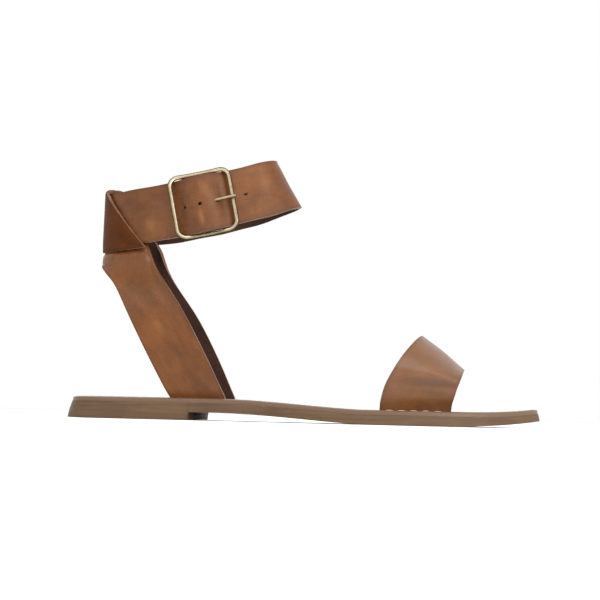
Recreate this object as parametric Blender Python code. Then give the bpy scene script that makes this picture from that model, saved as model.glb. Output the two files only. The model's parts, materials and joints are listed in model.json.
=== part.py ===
"""Ankle strap sandal, right shoe: moulded sole, stitched footbed and leather straps.

Units are metres in the file's world and millimetres in the tables below. The toe points
along +X, the inner side of the foot along +Y, and the shoe stands on the plane Z = 0.
"""

from math import cos, pi, radians, sin, tan
from typing import NamedTuple

import bmesh
import bpy
from mathutils import Matrix, Vector

MM = 0.001

# Sole
LENGTH = 255.0
OUTSOLE_THICK = 4.8
FOOTBED_THICK = 2.3
LAYER_GAP = 0.3
HEEL_LIFT = 4.0
TOE_SPRING = 3.8
TOE_THINNING = 0.9
SPRING_START = 205.0
WAIST_START = 84.0
WAIST_END = 176.0
BREAST_OUTER_X = 69.5
BREAST_INNER_X = 74.5
WAIST_OVERCUT = 0.3
HEEL_FLARE = 3.0
TOE_FLARE = 1.4
FOOTBED_INSET = 0.5
HEEL_BACK_Y = 1.3
TOE_TIP_Y = 8.5
STEPS_PER_ROW = 3

# Leather
STRAP_THICK = 2.0
SLOT_PLAY = 0.35
ROOT_DEPTH = 2.0

# Ankle ring: an oval band whose plane rises towards the instep
RING_X = 68.8
RING_Z = 118.4
RING_TILT = radians(12.5)
RING_ROLL = radians(5.5)
RING_SAG = 3.2
RING_HALF_LENGTH = 49.9
RING_HALF_WIDTH = 23.0
STRAP_HALF_WIDTH = 14.75
LEAN_FRONT = radians(17.0)
LEAN_BACK = radians(13.0)
LEAN_SIDES = radians(5.0)
BUCKLE_ANGLE = radians(-84.2)
RING_STEPS = 720

# Tunnel of the heel strap around the ankle strap
INNER_WALL_OFFSET = -5.5
FLAP_OFFSET = 2.9
FOLD_RISE = 1.7
TUNNEL_FLOOR = -15.6
TUNNEL_TOP = 15.1

# Buckle
FRAME_HALF_LENGTH = 16.1
FRAME_HALF_HEIGHT = 16.8
FRAME_CORNER = 5.0
FRAME_WIRE = 1.25
FRAME_BOW = 1.9
PRONG_WIRE = 0.85
PRONG_PLAY = 0.3
PRONG_HOLE_HALF_WIDTH = 1.25
PRONG_HOLE_HALF_LENGTH = 2.9
PRONG_HOLE_AT = -6.1
PRONG_SLOT_HALF = 1.35


class Outline(NamedTuple):
    """One station of the sole's widest outline."""

    x: float
    outer: float
    inner: float


OUTLINE = [
    Outline(3.4, -12.6, 14.4),
    Outline(10.1, -21.2, 22.8),
    Outline(21.6, -27.0, 28.4),
    Outline(37.4, -28.4, 29.6),
    Outline(56.8, -28.9, 27.9),
    Outline(78.4, -30.0, 24.3),
    Outline(100.3, -31.5, 21.5),
    Outline(120.0, -35.6, 23.6),
    Outline(139.2, -39.9, 31.0),
    Outline(158.1, -43.4, 38.6),
    Outline(176.5, -44.6, 43.2),
    Outline(194.0, -42.6, 44.6),
    Outline(210.7, -38.2, 43.7),
    Outline(226.4, -30.6, 40.4),
    Outline(239.8, -20.2, 34.6),
    Outline(249.0, -9.6, 26.2),
    Outline(253.7, -0.4, 17.4),
]


class StrapRow(NamedTuple):
    """One line across a strap, from its rear edge to its front edge."""

    rear_x: float
    rear_y: float
    rear_z: float
    front_x: float
    front_y: float
    front_z: float


TOE_STRAP = [
    StrapRow(171.0, -37.6, 12.5, 207.0, -32.2, 11.5),
    StrapRow(173.5, -40.4, 21.0, 208.8, -35.6, 17.0),
    StrapRow(178.5, -37.4, 30.6, 210.8, -33.0, 22.4),
    StrapRow(184.6, -27.6, 39.6, 212.4, -24.2, 26.4),
    StrapRow(189.4, -14.0, 45.4, 213.4, -11.6, 28.6),
    StrapRow(191.6, 1.0, 47.0, 213.8, 2.0, 29.2),
    StrapRow(190.4, 16.0, 44.0, 213.6, 16.6, 27.4),
    StrapRow(186.4, 28.2, 36.6, 212.6, 29.0, 23.2),
    StrapRow(181.0, 35.6, 26.0, 210.9, 36.6, 17.6),
    StrapRow(177.0, 36.4, 15.5, 209.4, 37.0, 12.2),
]
TOE_ROOT_OUTER = StrapRow(170.5, -36.0, 0.0, 206.5, -31.0, 0.0)
TOE_ROOT_INNER = StrapRow(176.0, 34.8, 0.0, 208.8, 35.4, 0.0)
TOE_SLOT_OUTER_REAR = 162.5
TOE_SLOT_INNER_REAR = 172.0

HEEL_LEG_OUTER = [
    StrapRow(57.0, -22.8, 17.0, 86.8, -24.2, 17.6),
    StrapRow(47.8, -24.0, 33.8, 78.2, -25.8, 35.0),
    StrapRow(37.2, -22.6, 53.2, 66.0, -24.6, 57.0),
    StrapRow(28.4, -17.4, 69.2, 50.6, -19.0, 79.6),
]
HEEL_LEG_INNER = [
    StrapRow(57.0, 20.8, 17.0, 86.8, 16.8, 17.6),
    StrapRow(47.8, 23.0, 33.8, 78.2, 21.0, 35.0),
    StrapRow(37.2, 22.4, 53.2, 66.0, 22.6, 57.0),
    StrapRow(28.4, 17.4, 69.2, 50.6, 19.2, 79.6),
]
HEEL_ROOT_OUTER = StrapRow(60.0, -21.6, 0.0, 89.5, -23.0, 0.0)
HEEL_ROOT_INNER = StrapRow(60.0, 19.6, 0.0, 89.5, 15.6, 0.0)


class TunnelRow(NamedTuple):
    """One line of the heel strap behind the ankle, at an angle from its middle."""

    angle: float
    low_x: float
    low_y: float
    low_z: float
    top: float


TUNNEL = [
    TunnelRow(55.0, 23.2, 13.3, 75.7, -13.4),
    TunnelRow(47.0, 21.0, 11.3, 77.8, -6.0),
    TunnelRow(37.0, 19.2, 8.5, 79.6, 3.0),
    TunnelRow(27.0, 18.0, 6.0, 81.2, 10.5),
    TunnelRow(18.0, 17.5, 3.9, 82.2, TUNNEL_TOP),
    TunnelRow(9.0, 17.3, 1.9, 82.7, TUNNEL_TOP),
    TunnelRow(0.0, 17.2, 0.0, 82.8, TUNNEL_TOP),
]
FOLD_ANGLE = 18.0
LEG_SAMPLES = 10


class UnderpassRow(NamedTuple):
    """How the heel strap passes below the ankle strap, from outside to inside."""

    offset: float
    height: float


UNDERPASS = [
    UnderpassRow(0.4, -21.4),
    UnderpassRow(-1.4, -19.4),
    UnderpassRow(-3.8, -17.8),
    UnderpassRow(INNER_WALL_OFFSET, -16.2),
]
FLAP_SAMPLES = 7
FOLD_SAMPLES = 5


class LapRow(NamedTuple):
    """How far the ankle strap lies outside the ring's oval, along its own length."""

    along: float
    offset: float


FOLD_RADIUS = FRAME_WIRE + 0.3 + STRAP_THICK / 2.0
TUCKED_LEG = [LapRow(25.0, -5.9), LapRow(18.0, -5.8), LapRow(10.0, -4.7), LapRow(4.0, -3.0)]
BUCKLE_LEG = [
    LapRow(4.0, 2.1),
    LapRow(9.0, -0.6),
    LapRow(15.5, -3.4),
    LapRow(21.0, -3.5),
    LapRow(29.0, -2.7),
    LapRow(40.0, -2.3),
    LapRow(75.0, -2.0),
    LapRow(100.0, -1.6),
    LapRow(130.0, -0.8),
]
FREE_LEG = [
    LapRow(-60.0, -0.3),
    LapRow(-32.0, -0.8),
    LapRow(-22.0, -1.1),
    LapRow(-15.5, -0.9),
    LapRow(-10.0, 0.9),
    LapRow(-4.5, 4.1),
    LapRow(0.0, 5.1),
    LapRow(4.5, 4.6),
    LapRow(9.0, 1.9),
    LapRow(15.5, -1.0),
    LapRow(21.0, -1.0),
    LapRow(29.0, -0.3),
    LapRow(40.0, 0.0),
    LapRow(62.0, 0.3),
    LapRow(78.0, 0.4),
]
LAP_STEP = 2.4


def smoothstep(value):
    """Ease from 0 to 1 with level ends."""
    value = min(max(value, 0.0), 1.0)
    return value * value * (3.0 - 2.0 * value)


def spline(points, steps, closed=False):
    """Return points on a smooth curve through the given ones, `steps` to each span."""
    count = len(points)
    spans = count if closed else count - 1
    curve = []
    for i in range(spans):
        if closed:
            around = [points[(i + k) % count] for k in (-1, 0, 1, 2)]
        else:
            around = [points[min(max(i + k, 0), count - 1)] for k in (-1, 0, 1, 2)]
        before, start, end, after = around
        for k in range(steps):
            t = k / steps
            curve.append(
                0.5
                * (
                    2.0 * start
                    + (end - before) * t
                    + (2.0 * before - 5.0 * start + 4.0 * end - after) * t * t
                    + (3.0 * start - before - 3.0 * end + after) * t * t * t
                )
            )
    if not closed:
        curve.append(points[-1])
    return curve


def material(name, color, roughness, metallic=0.0):
    """Create a plain material."""
    result = bpy.data.materials.new(name)
    result.use_nodes = True
    shader = result.node_tree.nodes["Principled BSDF"]
    shader.inputs["Base Color"].default_value = (*color, 1.0)
    shader.inputs["Roughness"].default_value = roughness
    shader.inputs["Metallic"].default_value = metallic
    return result


def add_object(name, mesh_data, finish):
    """Turn a bmesh in millimetres into a shaded object in metres."""
    bmesh.ops.scale(mesh_data, vec=(MM, MM, MM), verts=mesh_data.verts)
    mesh = bpy.data.meshes.new(name)
    mesh_data.to_mesh(mesh)
    mesh_data.free()
    mesh.shade_smooth()
    mesh.set_sharp_from_angle(angle=radians(35.0))
    result = bpy.data.objects.new(name, mesh)
    bpy.context.scene.collection.objects.link(result)
    if finish is not None:
        mesh.materials.append(finish)
    return result


def add_cutter(name, mesh_data):
    """Add a hidden shape that a Boolean uses."""
    result = add_object(name, mesh_data, None)
    result.hide_render = True
    result.display_type = "WIRE"
    return result


def combine(target, other, operation):
    """Cut or join a hidden shape with an object."""
    boolean = target.modifiers.new(other.name, "BOOLEAN")
    boolean.operation = operation
    boolean.solver = "EXACT"
    boolean.object = other


def sole_sides():
    """Return the outer and inner sides of the outline, both from heel to toe."""
    heel = Vector((0.0, HEEL_BACK_Y))
    toe = Vector((LENGTH, TOE_TIP_Y))
    outer = [Vector((row.x, row.outer)) for row in OUTLINE]
    inner = [Vector((row.x, row.inner)) for row in OUTLINE]
    loop = spline([heel] + outer + [toe] + inner[::-1], STEPS_PER_ROW, closed=True)
    half = (len(OUTLINE) + 1) * STEPS_PER_ROW
    return loop[: half + 1], (loop[half:] + loop[:1])[::-1]


def inset_sides(amount_at):
    """Return both sides moved inwards by an amount that depends on x."""
    outer, inner = sole_sides()
    loop = outer + inner[-2:0:-1]
    count = len(loop)
    moved = []
    for i, point in enumerate(loop):
        along = loop[(i + 1) % count] - loop[i - 1]
        inwards = Vector((-along.y, along.x)).normalized()
        moved.append(point + inwards * amount_at(point.x))
    last = len(outer) - 1
    return moved[: last + 1], (moved[last:] + moved[:1])[::-1]


def flare(x):
    """How much narrower the sole's top is than its ground edge."""
    return HEEL_FLARE + (TOE_FLARE - HEEL_FLARE) * smoothstep((x - 10.0) / 60.0)


def ground_z(x):
    """Height of the sole's underside, without the hollow of the waist."""
    return TOE_SPRING * max(0.0, (x - SPRING_START) / (LENGTH - SPRING_START)) ** 2


def waist_z(x):
    """Height of the hollow's roof between the heel and the ball."""
    along = min(max((x - WAIST_START) / (WAIST_END - WAIST_START), 0.0), 1.0)
    full = HEEL_LIFT + WAIST_OVERCUT
    return full * (0.5 + 0.5 * cos(pi * along)) - WAIST_OVERCUT


def outsole_top(x):
    """Height of the outsole's upper face."""
    thin = TOE_THINNING * smoothstep((x - SPRING_START) / (LENGTH - SPRING_START))
    return max(waist_z(x), 0.0) + ground_z(x) + OUTSOLE_THICK - thin


def footbed_base(x):
    """Height of the footbed's lower face."""
    return outsole_top(x) + LAYER_GAP


def footbed_top(x):
    """Height of the footbed's upper face."""
    return footbed_base(x) + FOOTBED_THICK


def layer(levels):
    """Build a closed sole layer from (sides, height) levels, lowest first."""
    mesh_data = bmesh.new()
    rings = []
    for (outer, inner), height in levels:
        loop = outer + inner[-2:0:-1]
        rings.append([mesh_data.verts.new((p.x, p.y, height(p.x))) for p in loop])
    count = len(rings[0])
    for low, high in zip(rings, rings[1:]):
        for i in range(count):
            j = (i + 1) % count
            mesh_data.faces.new((low[i], low[j], high[j], high[i]))
    half = count // 2
    for ring, upwards in ((rings[0], False), (rings[-1], True)):
        for i in range(half):
            near = [ring[i], ring[i + 1]]
            far = [ring[(count - i - 1) % count], ring[(count - i) % count]]
            corners = list(dict.fromkeys(near + far))
            mesh_data.faces.new(corners if upwards else corners[::-1])
    return mesh_data


def waist_cutter():
    """Build the hollow below the waist, from the heel breast to the ball."""
    steps = 24
    reach = 60.0
    mesh_data = bmesh.new()
    rows = []
    for k in range(steps + 1):
        part = k / steps
        row = []
        for y in (-reach, reach):
            side = (y + reach) / (2.0 * reach)
            breast = BREAST_OUTER_X + (BREAST_INNER_X - BREAST_OUTER_X) * side
            x = breast + (WAIST_END - breast) * part
            row.append(mesh_data.verts.new((x, y, -2.0)))
            row.append(mesh_data.verts.new((x, y, waist_z(x))))
        rows.append(row)
    for a, b in zip(rows, rows[1:]):
        mesh_data.faces.new((a[0], b[0], b[1], a[1]))
        mesh_data.faces.new((a[2], a[3], b[3], b[2]))
        mesh_data.faces.new((a[1], b[1], b[3], a[3]))
        mesh_data.faces.new((a[0], a[2], b[2], b[0]))
    first = rows[0]
    last = rows[-1]
    mesh_data.faces.new((first[0], first[1], first[3], first[2]))
    mesh_data.faces.new((last[0], last[2], last[3], last[1]))
    return mesh_data


def slot_cutter(start, end):
    """Build a straight slot through the footbed between two plan points."""
    half = STRAP_THICK / 2.0 + SLOT_PLAY
    along = (end - start).normalized()
    across = Vector((-along.y, along.x)) * half
    corners = [start - across, end - across, end + across, start + across]
    mesh_data = bmesh.new()
    low = [mesh_data.verts.new((p.x, p.y, footbed_base(p.x) - 0.2)) for p in corners]
    high = [mesh_data.verts.new((p.x, p.y, footbed_top(p.x) + 3.0)) for p in corners]
    for i in range(4):
        j = (i + 1) % 4
        mesh_data.faces.new((low[i], low[j], high[j], high[i]))
    mesh_data.faces.new(low[::-1])
    mesh_data.faces.new(high)
    return mesh_data


def build_outsole():
    """Moulded outsole with its heel, flared sides and toe spring."""
    finish = material("sole_rubber", (0.26, 0.17, 0.10), 0.6)
    levels = [
        (inset_sides(lambda x: 0.0), ground_z),
        (inset_sides(lambda x: flare(x) - FOOTBED_INSET), outsole_top),
    ]
    outsole = add_object("outsole", layer(levels), finish)
    cutter = add_cutter("waist_hollow", waist_cutter())
    combine(outsole, cutter, "DIFFERENCE")
    return outsole


def build_footbed():
    """Leather footbed with a slot for each strap end."""
    finish = material("footbed_leather", (0.24, 0.12, 0.065), 0.5)
    levels = [
        (inset_sides(lambda x: flare(x) - 0.3), footbed_base),
        (inset_sides(flare), footbed_top),
    ]
    footbed = add_object("footbed", layer(levels), finish)
    slots = [
        (TOE_ROOT_OUTER, TOE_SLOT_OUTER_REAR),
        (TOE_ROOT_INNER, TOE_SLOT_INNER_REAR),
        (HEEL_ROOT_OUTER, HEEL_ROOT_OUTER.rear_x - 1.0),
        (HEEL_ROOT_INNER, HEEL_ROOT_INNER.rear_x - 1.0),
    ]
    for number, (root, rear_x) in enumerate(slots):
        rear = Vector((root.rear_x, root.rear_y))
        front = Vector((root.front_x, root.front_y))
        along = (front - rear) / (front.x - rear.x)
        start = rear + along * (rear_x - rear.x)
        cutter = add_cutter(f"slot_{number}", slot_cutter(start, front + along * 1.0))
        combine(footbed, cutter, "DIFFERENCE")
    return footbed


def sheet(name, rows, finish, faces=None):
    """Give a smooth sheet of leather its thickness."""
    mesh_data = bmesh.new()
    grid = [[mesh_data.verts.new(point) for point in row] for row in rows]
    for a, b in zip(grid, grid[1:]):
        for i in range(len(a) - 1):
            mesh_data.faces.new((a[i], a[i + 1], b[i + 1], b[i]))
    if faces is not None:
        faces(mesh_data, grid)
    result = add_object(name, mesh_data, finish)
    solidify = result.modifiers.new("Leather", "SOLIDIFY")
    solidify.thickness = STRAP_THICK * MM
    solidify.offset = 0.0
    solidify.use_even_offset = True
    solidify.use_quality_normals = True
    return result


def row_line(row, samples, bulge=0.0):
    """Return points across a strap, from its rear edge to its front edge."""
    rear = Vector((row.rear_x, row.rear_y, row.rear_z))
    front = Vector((row.front_x, row.front_y, row.front_z))
    line = []
    for k in range(samples):
        part = k / (samples - 1)
        line.append(rear.lerp(front, part) + Vector((0.0, 0.0, bulge * sin(pi * part))))
    return line


def seated(root, height=0.0):
    """Return a strap's line inside its slot, or at a height above the footbed."""
    lift = height if height else -ROOT_DEPTH
    return StrapRow(
        root.rear_x,
        root.rear_y,
        footbed_top(root.rear_x) + lift,
        root.front_x,
        root.front_y,
        footbed_top(root.front_x) + lift,
    )


def smooth_rows(lines, steps):
    """Return more lines between the given ones, along smooth curves."""
    columns = [spline([line[i] for line in lines], steps) for i in range(len(lines[0]))]
    return [[column[k] for column in columns] for k in range(len(columns[0]))]


def build_toe_strap():
    """Wide band across the ball of the foot, with both ends in the footbed."""
    finish = material("toe_strap_leather", (0.34, 0.14, 0.05), 0.38)
    samples = 9
    lines = [row_line(seated(TOE_ROOT_OUTER), samples)]
    lines.append(row_line(seated(TOE_ROOT_OUTER, 0.6), samples))
    for row in TOE_STRAP:
        lines.append(row_line(row, samples, 0.6))
    lines.append(row_line(seated(TOE_ROOT_INNER, 0.6), samples))
    lines.append(row_line(seated(TOE_ROOT_INNER), samples))
    return sheet("toe_strap", smooth_rows(lines, 3), finish)


class Ring:
    """The oval that the ankle strap follows, measured along its own length."""

    def __init__(self):
        self.angles = [BUCKLE_ANGLE - 2.0 * pi * k / RING_STEPS for k in range(RING_STEPS + 1)]
        self.lengths = [0.0]
        for a, b in zip(self.angles, self.angles[1:]):
            start = self.oval(a)
            end = self.oval(b)
            self.lengths.append(self.lengths[-1] + (end - start).length)
        self.total = self.lengths[-1]

    @staticmethod
    def oval(angle):
        """Plan point of the oval in the ring's own plane."""
        return Vector((RING_HALF_LENGTH * cos(angle), RING_HALF_WIDTH * sin(angle)))

    def angle_at(self, along):
        """Angle at a distance from the buckle, towards the heel."""
        turns = along // self.total
        rest = along - turns * self.total
        step = next(i for i in range(RING_STEPS) if self.lengths[i + 1] >= rest)
        span = self.lengths[step + 1] - self.lengths[step]
        part = (rest - self.lengths[step]) / span
        return self.angles[step] - 2.0 * pi * (part / RING_STEPS + turns)

    def point(self, angle, offset, height):
        """World point at an angle, outside the oval, at a height across the strap."""
        outwards = Vector((RING_HALF_WIDTH * cos(angle), RING_HALF_LENGTH * sin(angle)))
        outwards.normalize()
        end_lean = LEAN_FRONT if outwards.x > 0.0 else LEAN_BACK
        lean = LEAN_SIDES + (end_lean - LEAN_SIDES) * outwards.x**2
        plan = self.oval(angle) + outwards * (offset - height * tan(lean))
        height += plan.y * tan(RING_ROLL)
        height -= RING_SAG * (1.0 - (plan.x / RING_HALF_LENGTH) ** 2)
        forward = Vector((cos(RING_TILT), 0.0, sin(RING_TILT)))
        up = Vector((-sin(RING_TILT), 0.0, cos(RING_TILT)))
        side = Vector((0.0, 1.0, 0.0))
        centre = Vector((RING_X, 0.0, RING_Z))
        return centre + forward * plan.x + side * plan.y + up * height


RING = Ring()


def lap_curve(rows, step):
    """Return (along, offset) pairs on a smooth curve through lap rows."""
    points = spline([Vector((row.along, row.offset)) for row in rows], 6)
    curve = [points[0]]
    for point in points[1:]:
        if (point - curve[-1]).length >= step:
            curve.append(point)
    return curve


def ankle_strap_path():
    """Return the ankle strap's course: tucked leg, fold on the bar, ring, free end."""
    path = lap_curve(TUCKED_LEG, LAP_STEP)
    turns = 8
    for k in range(turns + 1):
        angle = -pi / 2.0 - pi * k / turns
        path.append(Vector((FOLD_RADIUS * cos(angle), FOLD_RADIUS * sin(angle))))
    path += lap_curve(BUCKLE_LEG, LAP_STEP)
    free = [LapRow(row.along + RING.total, row.offset) for row in FREE_LEG]
    start = BUCKLE_LEG[-1]
    gap = free[0].along - start.along
    count = int(gap // 7.0)
    for k in range(1, count):
        part = k / count
        offset = start.offset + (free[0].offset - start.offset) * smoothstep(part)
        path.append(Vector((start.along + gap * part, offset)))
    path += lap_curve(free, LAP_STEP)
    return path


def build_ankle_strap():
    """Strap around the ankle: folded on the buckle's bar, closed over itself."""
    finish = material("ankle_strap_leather", (0.34, 0.14, 0.05), 0.38)
    heights = [-STRAP_HALF_WIDTH, -STRAP_HALF_WIDTH / 3.0, STRAP_HALF_WIDTH / 3.0, STRAP_HALF_WIDTH]
    rows = []
    for point in ankle_strap_path():
        angle = RING.angle_at(point.x)
        rows.append([RING.point(angle, point.y, height) for height in heights])
    strap = sheet("ankle_strap", rows, finish)
    combine(strap, add_cutter("prong_slot", prong_slot_cutter()), "DIFFERENCE")
    combine(strap, add_cutter("prong_hole", prong_hole_cutter()), "DIFFERENCE")
    return strap


def build_heel_strap():
    """Strap from the footbed around the heel, folded over the ankle strap."""
    finish = material("heel_strap_leather", (0.34, 0.14, 0.05), 0.38)
    lines = [row_line(seated(HEEL_ROOT_OUTER), LEG_SAMPLES)]
    lines.append(row_line(seated(HEEL_ROOT_OUTER, 0.6), LEG_SAMPLES))
    lines += [row_line(row, LEG_SAMPLES) for row in HEEL_LEG_OUTER]
    tunnel = [(row, -1.0) for row in TUNNEL] + [(row, 1.0) for row in TUNNEL[-2::-1]]
    lines += [tunnel_line(row, side) for row, side in tunnel]
    lines += [row_line(row, LEG_SAMPLES) for row in HEEL_LEG_INNER[::-1]]
    lines.append(row_line(seated(HEEL_ROOT_INNER, 0.6), LEG_SAMPLES))
    lines.append(row_line(seated(HEEL_ROOT_INNER), LEG_SAMPLES))
    steps = 2
    first = (2 + len(HEEL_LEG_OUTER)) * steps
    flap = smooth_rows([flap_line(row, side) for row, side in tunnel], steps)
    angles = [side * row.angle for row, side in tunnel]
    between = spline([Vector((angle, 0.0)) for angle in angles], steps)

    def add_flap(mesh_data, grid):
        """Hang the flap outside the ankle strap and close the fold on top."""
        hung = [[mesh_data.verts.new(point) for point in line] for line in flap]
        folds = []
        for k, line in enumerate(hung):
            inside = grid[first + k][-1]
            if abs(between[k].x) > FOLD_ANGLE + 0.01:
                folds.append(None)
                continue
            middle = (inside.co + line[0].co) / 2.0
            half = (line[0].co - inside.co) / 2.0
            up = Vector((-sin(RING_TILT), 0.0, cos(RING_TILT)))
            fold = [inside]
            for i in range(1, FOLD_SAMPLES):
                turn = pi * i / FOLD_SAMPLES
                place = middle - half * cos(turn) + up * FOLD_RISE * sin(turn)
                fold.append(mesh_data.verts.new(place))
            folds.append(fold + [line[0]])
        for k in range(len(hung) - 1):
            for strips in (hung, folds):
                a = strips[k]
                b = strips[k + 1]
                if a is None or b is None:
                    continue
                for i in range(len(a) - 1):
                    mesh_data.faces.new((a[i], a[i + 1], b[i + 1], b[i]))

    return sheet("heel_strap", smooth_rows(lines, steps), finish, add_flap)


def tunnel_line(row, side):
    """Return the heel strap's line under and inside the ankle strap, lower edge first."""
    angle = -pi - side * radians(row.angle)
    low = Vector((row.low_x, side * row.low_y, row.low_z))
    line = [low, low.lerp(RING.point(angle, *UNDERPASS[0]), 0.5)]
    line += [RING.point(angle, offset, height) for offset, height in UNDERPASS]
    start = UNDERPASS[-1].height
    steps = LEG_SAMPLES - len(line)
    for k in range(1, steps + 1):
        height = start + (row.top - start) * k / steps
        line.append(RING.point(angle, INNER_WALL_OFFSET, height))
    return line


def flap_line(row, side):
    """Return the flap's line outside the ankle strap, from its top edge down."""
    angle = -pi - side * radians(row.angle)
    line = []
    for k in range(FLAP_SAMPLES):
        part = k / (FLAP_SAMPLES - 1)
        line.append(RING.point(angle, FLAP_OFFSET, row.top + (TUNNEL_FLOOR - row.top) * part))
    return line


def buckle_place():
    """Return the buckle's own frame: along the strap, outwards, across it."""
    origin = RING.point(BUCKLE_ANGLE, 0.0, 0.0)
    across = (RING.point(BUCKLE_ANGLE, 0.0, 1.0) - origin).normalized()
    along = RING.point(BUCKLE_ANGLE - 0.01, 0.0, 0.0) - RING.point(BUCKLE_ANGLE + 0.01, 0.0, 0.0)
    outwards = across.cross(along).normalized()
    if outwards.y > 0.0:
        outwards = -outwards
    along = (along - across * along.dot(across)).normalized()
    matrix = Matrix((along, outwards, across)).transposed().to_4x4()
    matrix.translation = origin
    return matrix


def place_in_buckle(mesh_data):
    """Move a mesh from the buckle's own frame to the shoe's."""
    place = buckle_place()
    bmesh.ops.transform(mesh_data, matrix=place, verts=mesh_data.verts)
    if place.to_3x3().determinant() < 0.0:
        bmesh.ops.reverse_faces(mesh_data, faces=mesh_data.faces)
    return mesh_data


def wire(points, radius, sides, closed):
    """Sweep a round wire along points; an open one gets flat ends."""
    mesh_data = bmesh.new()
    count = len(points)
    rings = []
    normal = None
    for i, point in enumerate(points):
        before = points[i - 1] if closed or i else point
        after = points[(i + 1) % count] if closed or i < count - 1 else point
        tangent = (after - before).normalized()
        if normal is None:
            helper = Vector((0.0, 0.0, 1.0)) if abs(tangent.z) < 0.9 else Vector((1.0, 0.0, 0.0))
            normal = tangent.cross(helper).normalized()
        normal = (normal - tangent * normal.dot(tangent)).normalized()
        binormal = tangent.cross(normal)
        ring = []
        for k in range(sides):
            turn = 2.0 * pi * k / sides
            ring.append(
                mesh_data.verts.new(point + (normal * cos(turn) + binormal * sin(turn)) * radius)
            )
        rings.append(ring)
    pairs = list(zip(rings, rings[1:]))
    if closed:
        pairs.append((rings[-1], rings[0]))
    for a, b in pairs:
        shift = 0
        if closed and a is rings[-1]:
            shift = min(range(sides), key=lambda k: (b[k].co - a[0].co).length)
        for k in range(sides):
            low = (k + shift) % sides
            high = (k + 1 + shift) % sides
            mesh_data.faces.new((a[k], a[(k + 1) % sides], b[high], b[low]))
    if not closed:
        mesh_data.faces.new(rings[0][::-1])
        mesh_data.faces.new(rings[-1])
    return mesh_data


def frame_course():
    """Return the buckle frame's rounded rectangle in its own frame."""
    corners = [(1, 1), (-1, 1), (-1, -1), (1, -1)]
    points = []
    for number, (right, up) in enumerate(corners):
        centre_x = right * (FRAME_HALF_LENGTH - FRAME_CORNER)
        centre_z = up * (FRAME_HALF_HEIGHT - FRAME_CORNER)
        for k in range(6):
            turn = pi / 2.0 * (number + k / 5.0)
            x = centre_x + FRAME_CORNER * cos(turn)
            z = centre_z + FRAME_CORNER * sin(turn)
            points.append(Vector((x, FRAME_BOW * (x / FRAME_HALF_LENGTH) ** 2, z)))
        if up != corners[(number + 1) % 4][1]:
            continue
        next_x = -centre_x
        for k in range(1, 6):
            x = centre_x + (next_x - centre_x) * k / 6.0
            bow = FRAME_BOW * (x / FRAME_HALF_LENGTH) ** 2
            points.append(Vector((x, bow, up * FRAME_HALF_HEIGHT)))
    return points


def build_buckle_frame():
    """Bowed rectangular frame with a bar across its middle."""
    finish = material("frame_brass", (0.45, 0.33, 0.16), 0.35, 1.0)
    frame = add_object(
        "buckle_frame", place_in_buckle(wire(frame_course(), FRAME_WIRE, 12, True)), finish
    )
    ends = [Vector((0.0, 0.0, z)) for z in (-FRAME_HALF_HEIGHT, FRAME_HALF_HEIGHT)]
    bar = add_cutter("buckle_bar", place_in_buckle(wire(ends, FRAME_WIRE * 0.96, 12, False)))
    combine(frame, bar, "UNION")
    return frame


def prong_course():
    """Return the prong's course: an eye around the bar, then a tip on the frame."""
    eye = FRAME_WIRE + PRONG_PLAY + PRONG_WIRE
    points = []
    turns = 12
    for k in range(turns + 1):
        turn = radians(112.0) - radians(300.0) * (1.0 - k / turns)
        points.append(Vector((eye * cos(turn), eye * sin(turn), 0.0)))
    rest = FRAME_BOW + FRAME_WIRE + PRONG_PLAY + PRONG_WIRE
    points.append(Vector((-4.0, 2.5, 0.0)))
    points.append(Vector((-8.5, 3.6, 0.0)))
    points.append(Vector((-FRAME_HALF_LENGTH, rest, 0.0)))
    points.append(Vector((-FRAME_HALF_LENGTH - 1.9, rest - 0.1, 0.0)))
    return points


def build_buckle_prong():
    """Prong that turns on the bar and lies on the frame's front side."""
    finish = material("prong_brass", (0.45, 0.33, 0.16), 0.35, 1.0)
    mesh_data = wire(prong_course(), PRONG_WIRE, 10, False)
    return add_object("buckle_prong", place_in_buckle(mesh_data), finish)


def box(low, high):
    """Build a box between two corners."""
    mesh_data = bmesh.new()
    bmesh.ops.create_cube(mesh_data, size=1.0)
    size = Vector(high) - Vector(low)
    middle = (Vector(high) + Vector(low)) / 2.0
    bmesh.ops.scale(mesh_data, vec=size, verts=mesh_data.verts)
    bmesh.ops.translate(mesh_data, vec=middle, verts=mesh_data.verts)
    return mesh_data


def prong_slot_cutter():
    """Slot in the strap's fold, where the prong turns on the bar."""
    half = PRONG_SLOT_HALF
    return place_in_buckle(box((-5.2, -5.0, -half), (3.9, 3.75, half)))


def prong_hole_cutter():
    """Hole in the free end, through which the prong comes up."""
    mesh_data = bmesh.new()
    bmesh.ops.create_cone(
        mesh_data, cap_ends=True, segments=16, radius1=1.0, radius2=1.0, depth=9.0
    )
    turn = Matrix.Rotation(pi / 2.0, 4, "X")
    bmesh.ops.transform(mesh_data, matrix=turn, verts=mesh_data.verts)
    size = (PRONG_HOLE_HALF_LENGTH, 1.0, PRONG_HOLE_HALF_WIDTH)
    bmesh.ops.scale(mesh_data, vec=size, verts=mesh_data.verts)
    bmesh.ops.translate(mesh_data, vec=(PRONG_HOLE_AT, 3.0, 0.0), verts=mesh_data.verts)
    return place_in_buckle(mesh_data)


def centre_on_sole(objects):
    """Move everything so that the sole's middle stands over the origin."""
    outer, inner = sole_sides()
    xs = [point.x for point in outer + inner]
    ys = [point.y for point in outer + inner]
    shift = Vector((-(min(xs) + max(xs)) / 2.0, -(min(ys) + max(ys)) / 2.0, 0.0)) * MM
    for item in objects:
        item.location = shift


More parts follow.
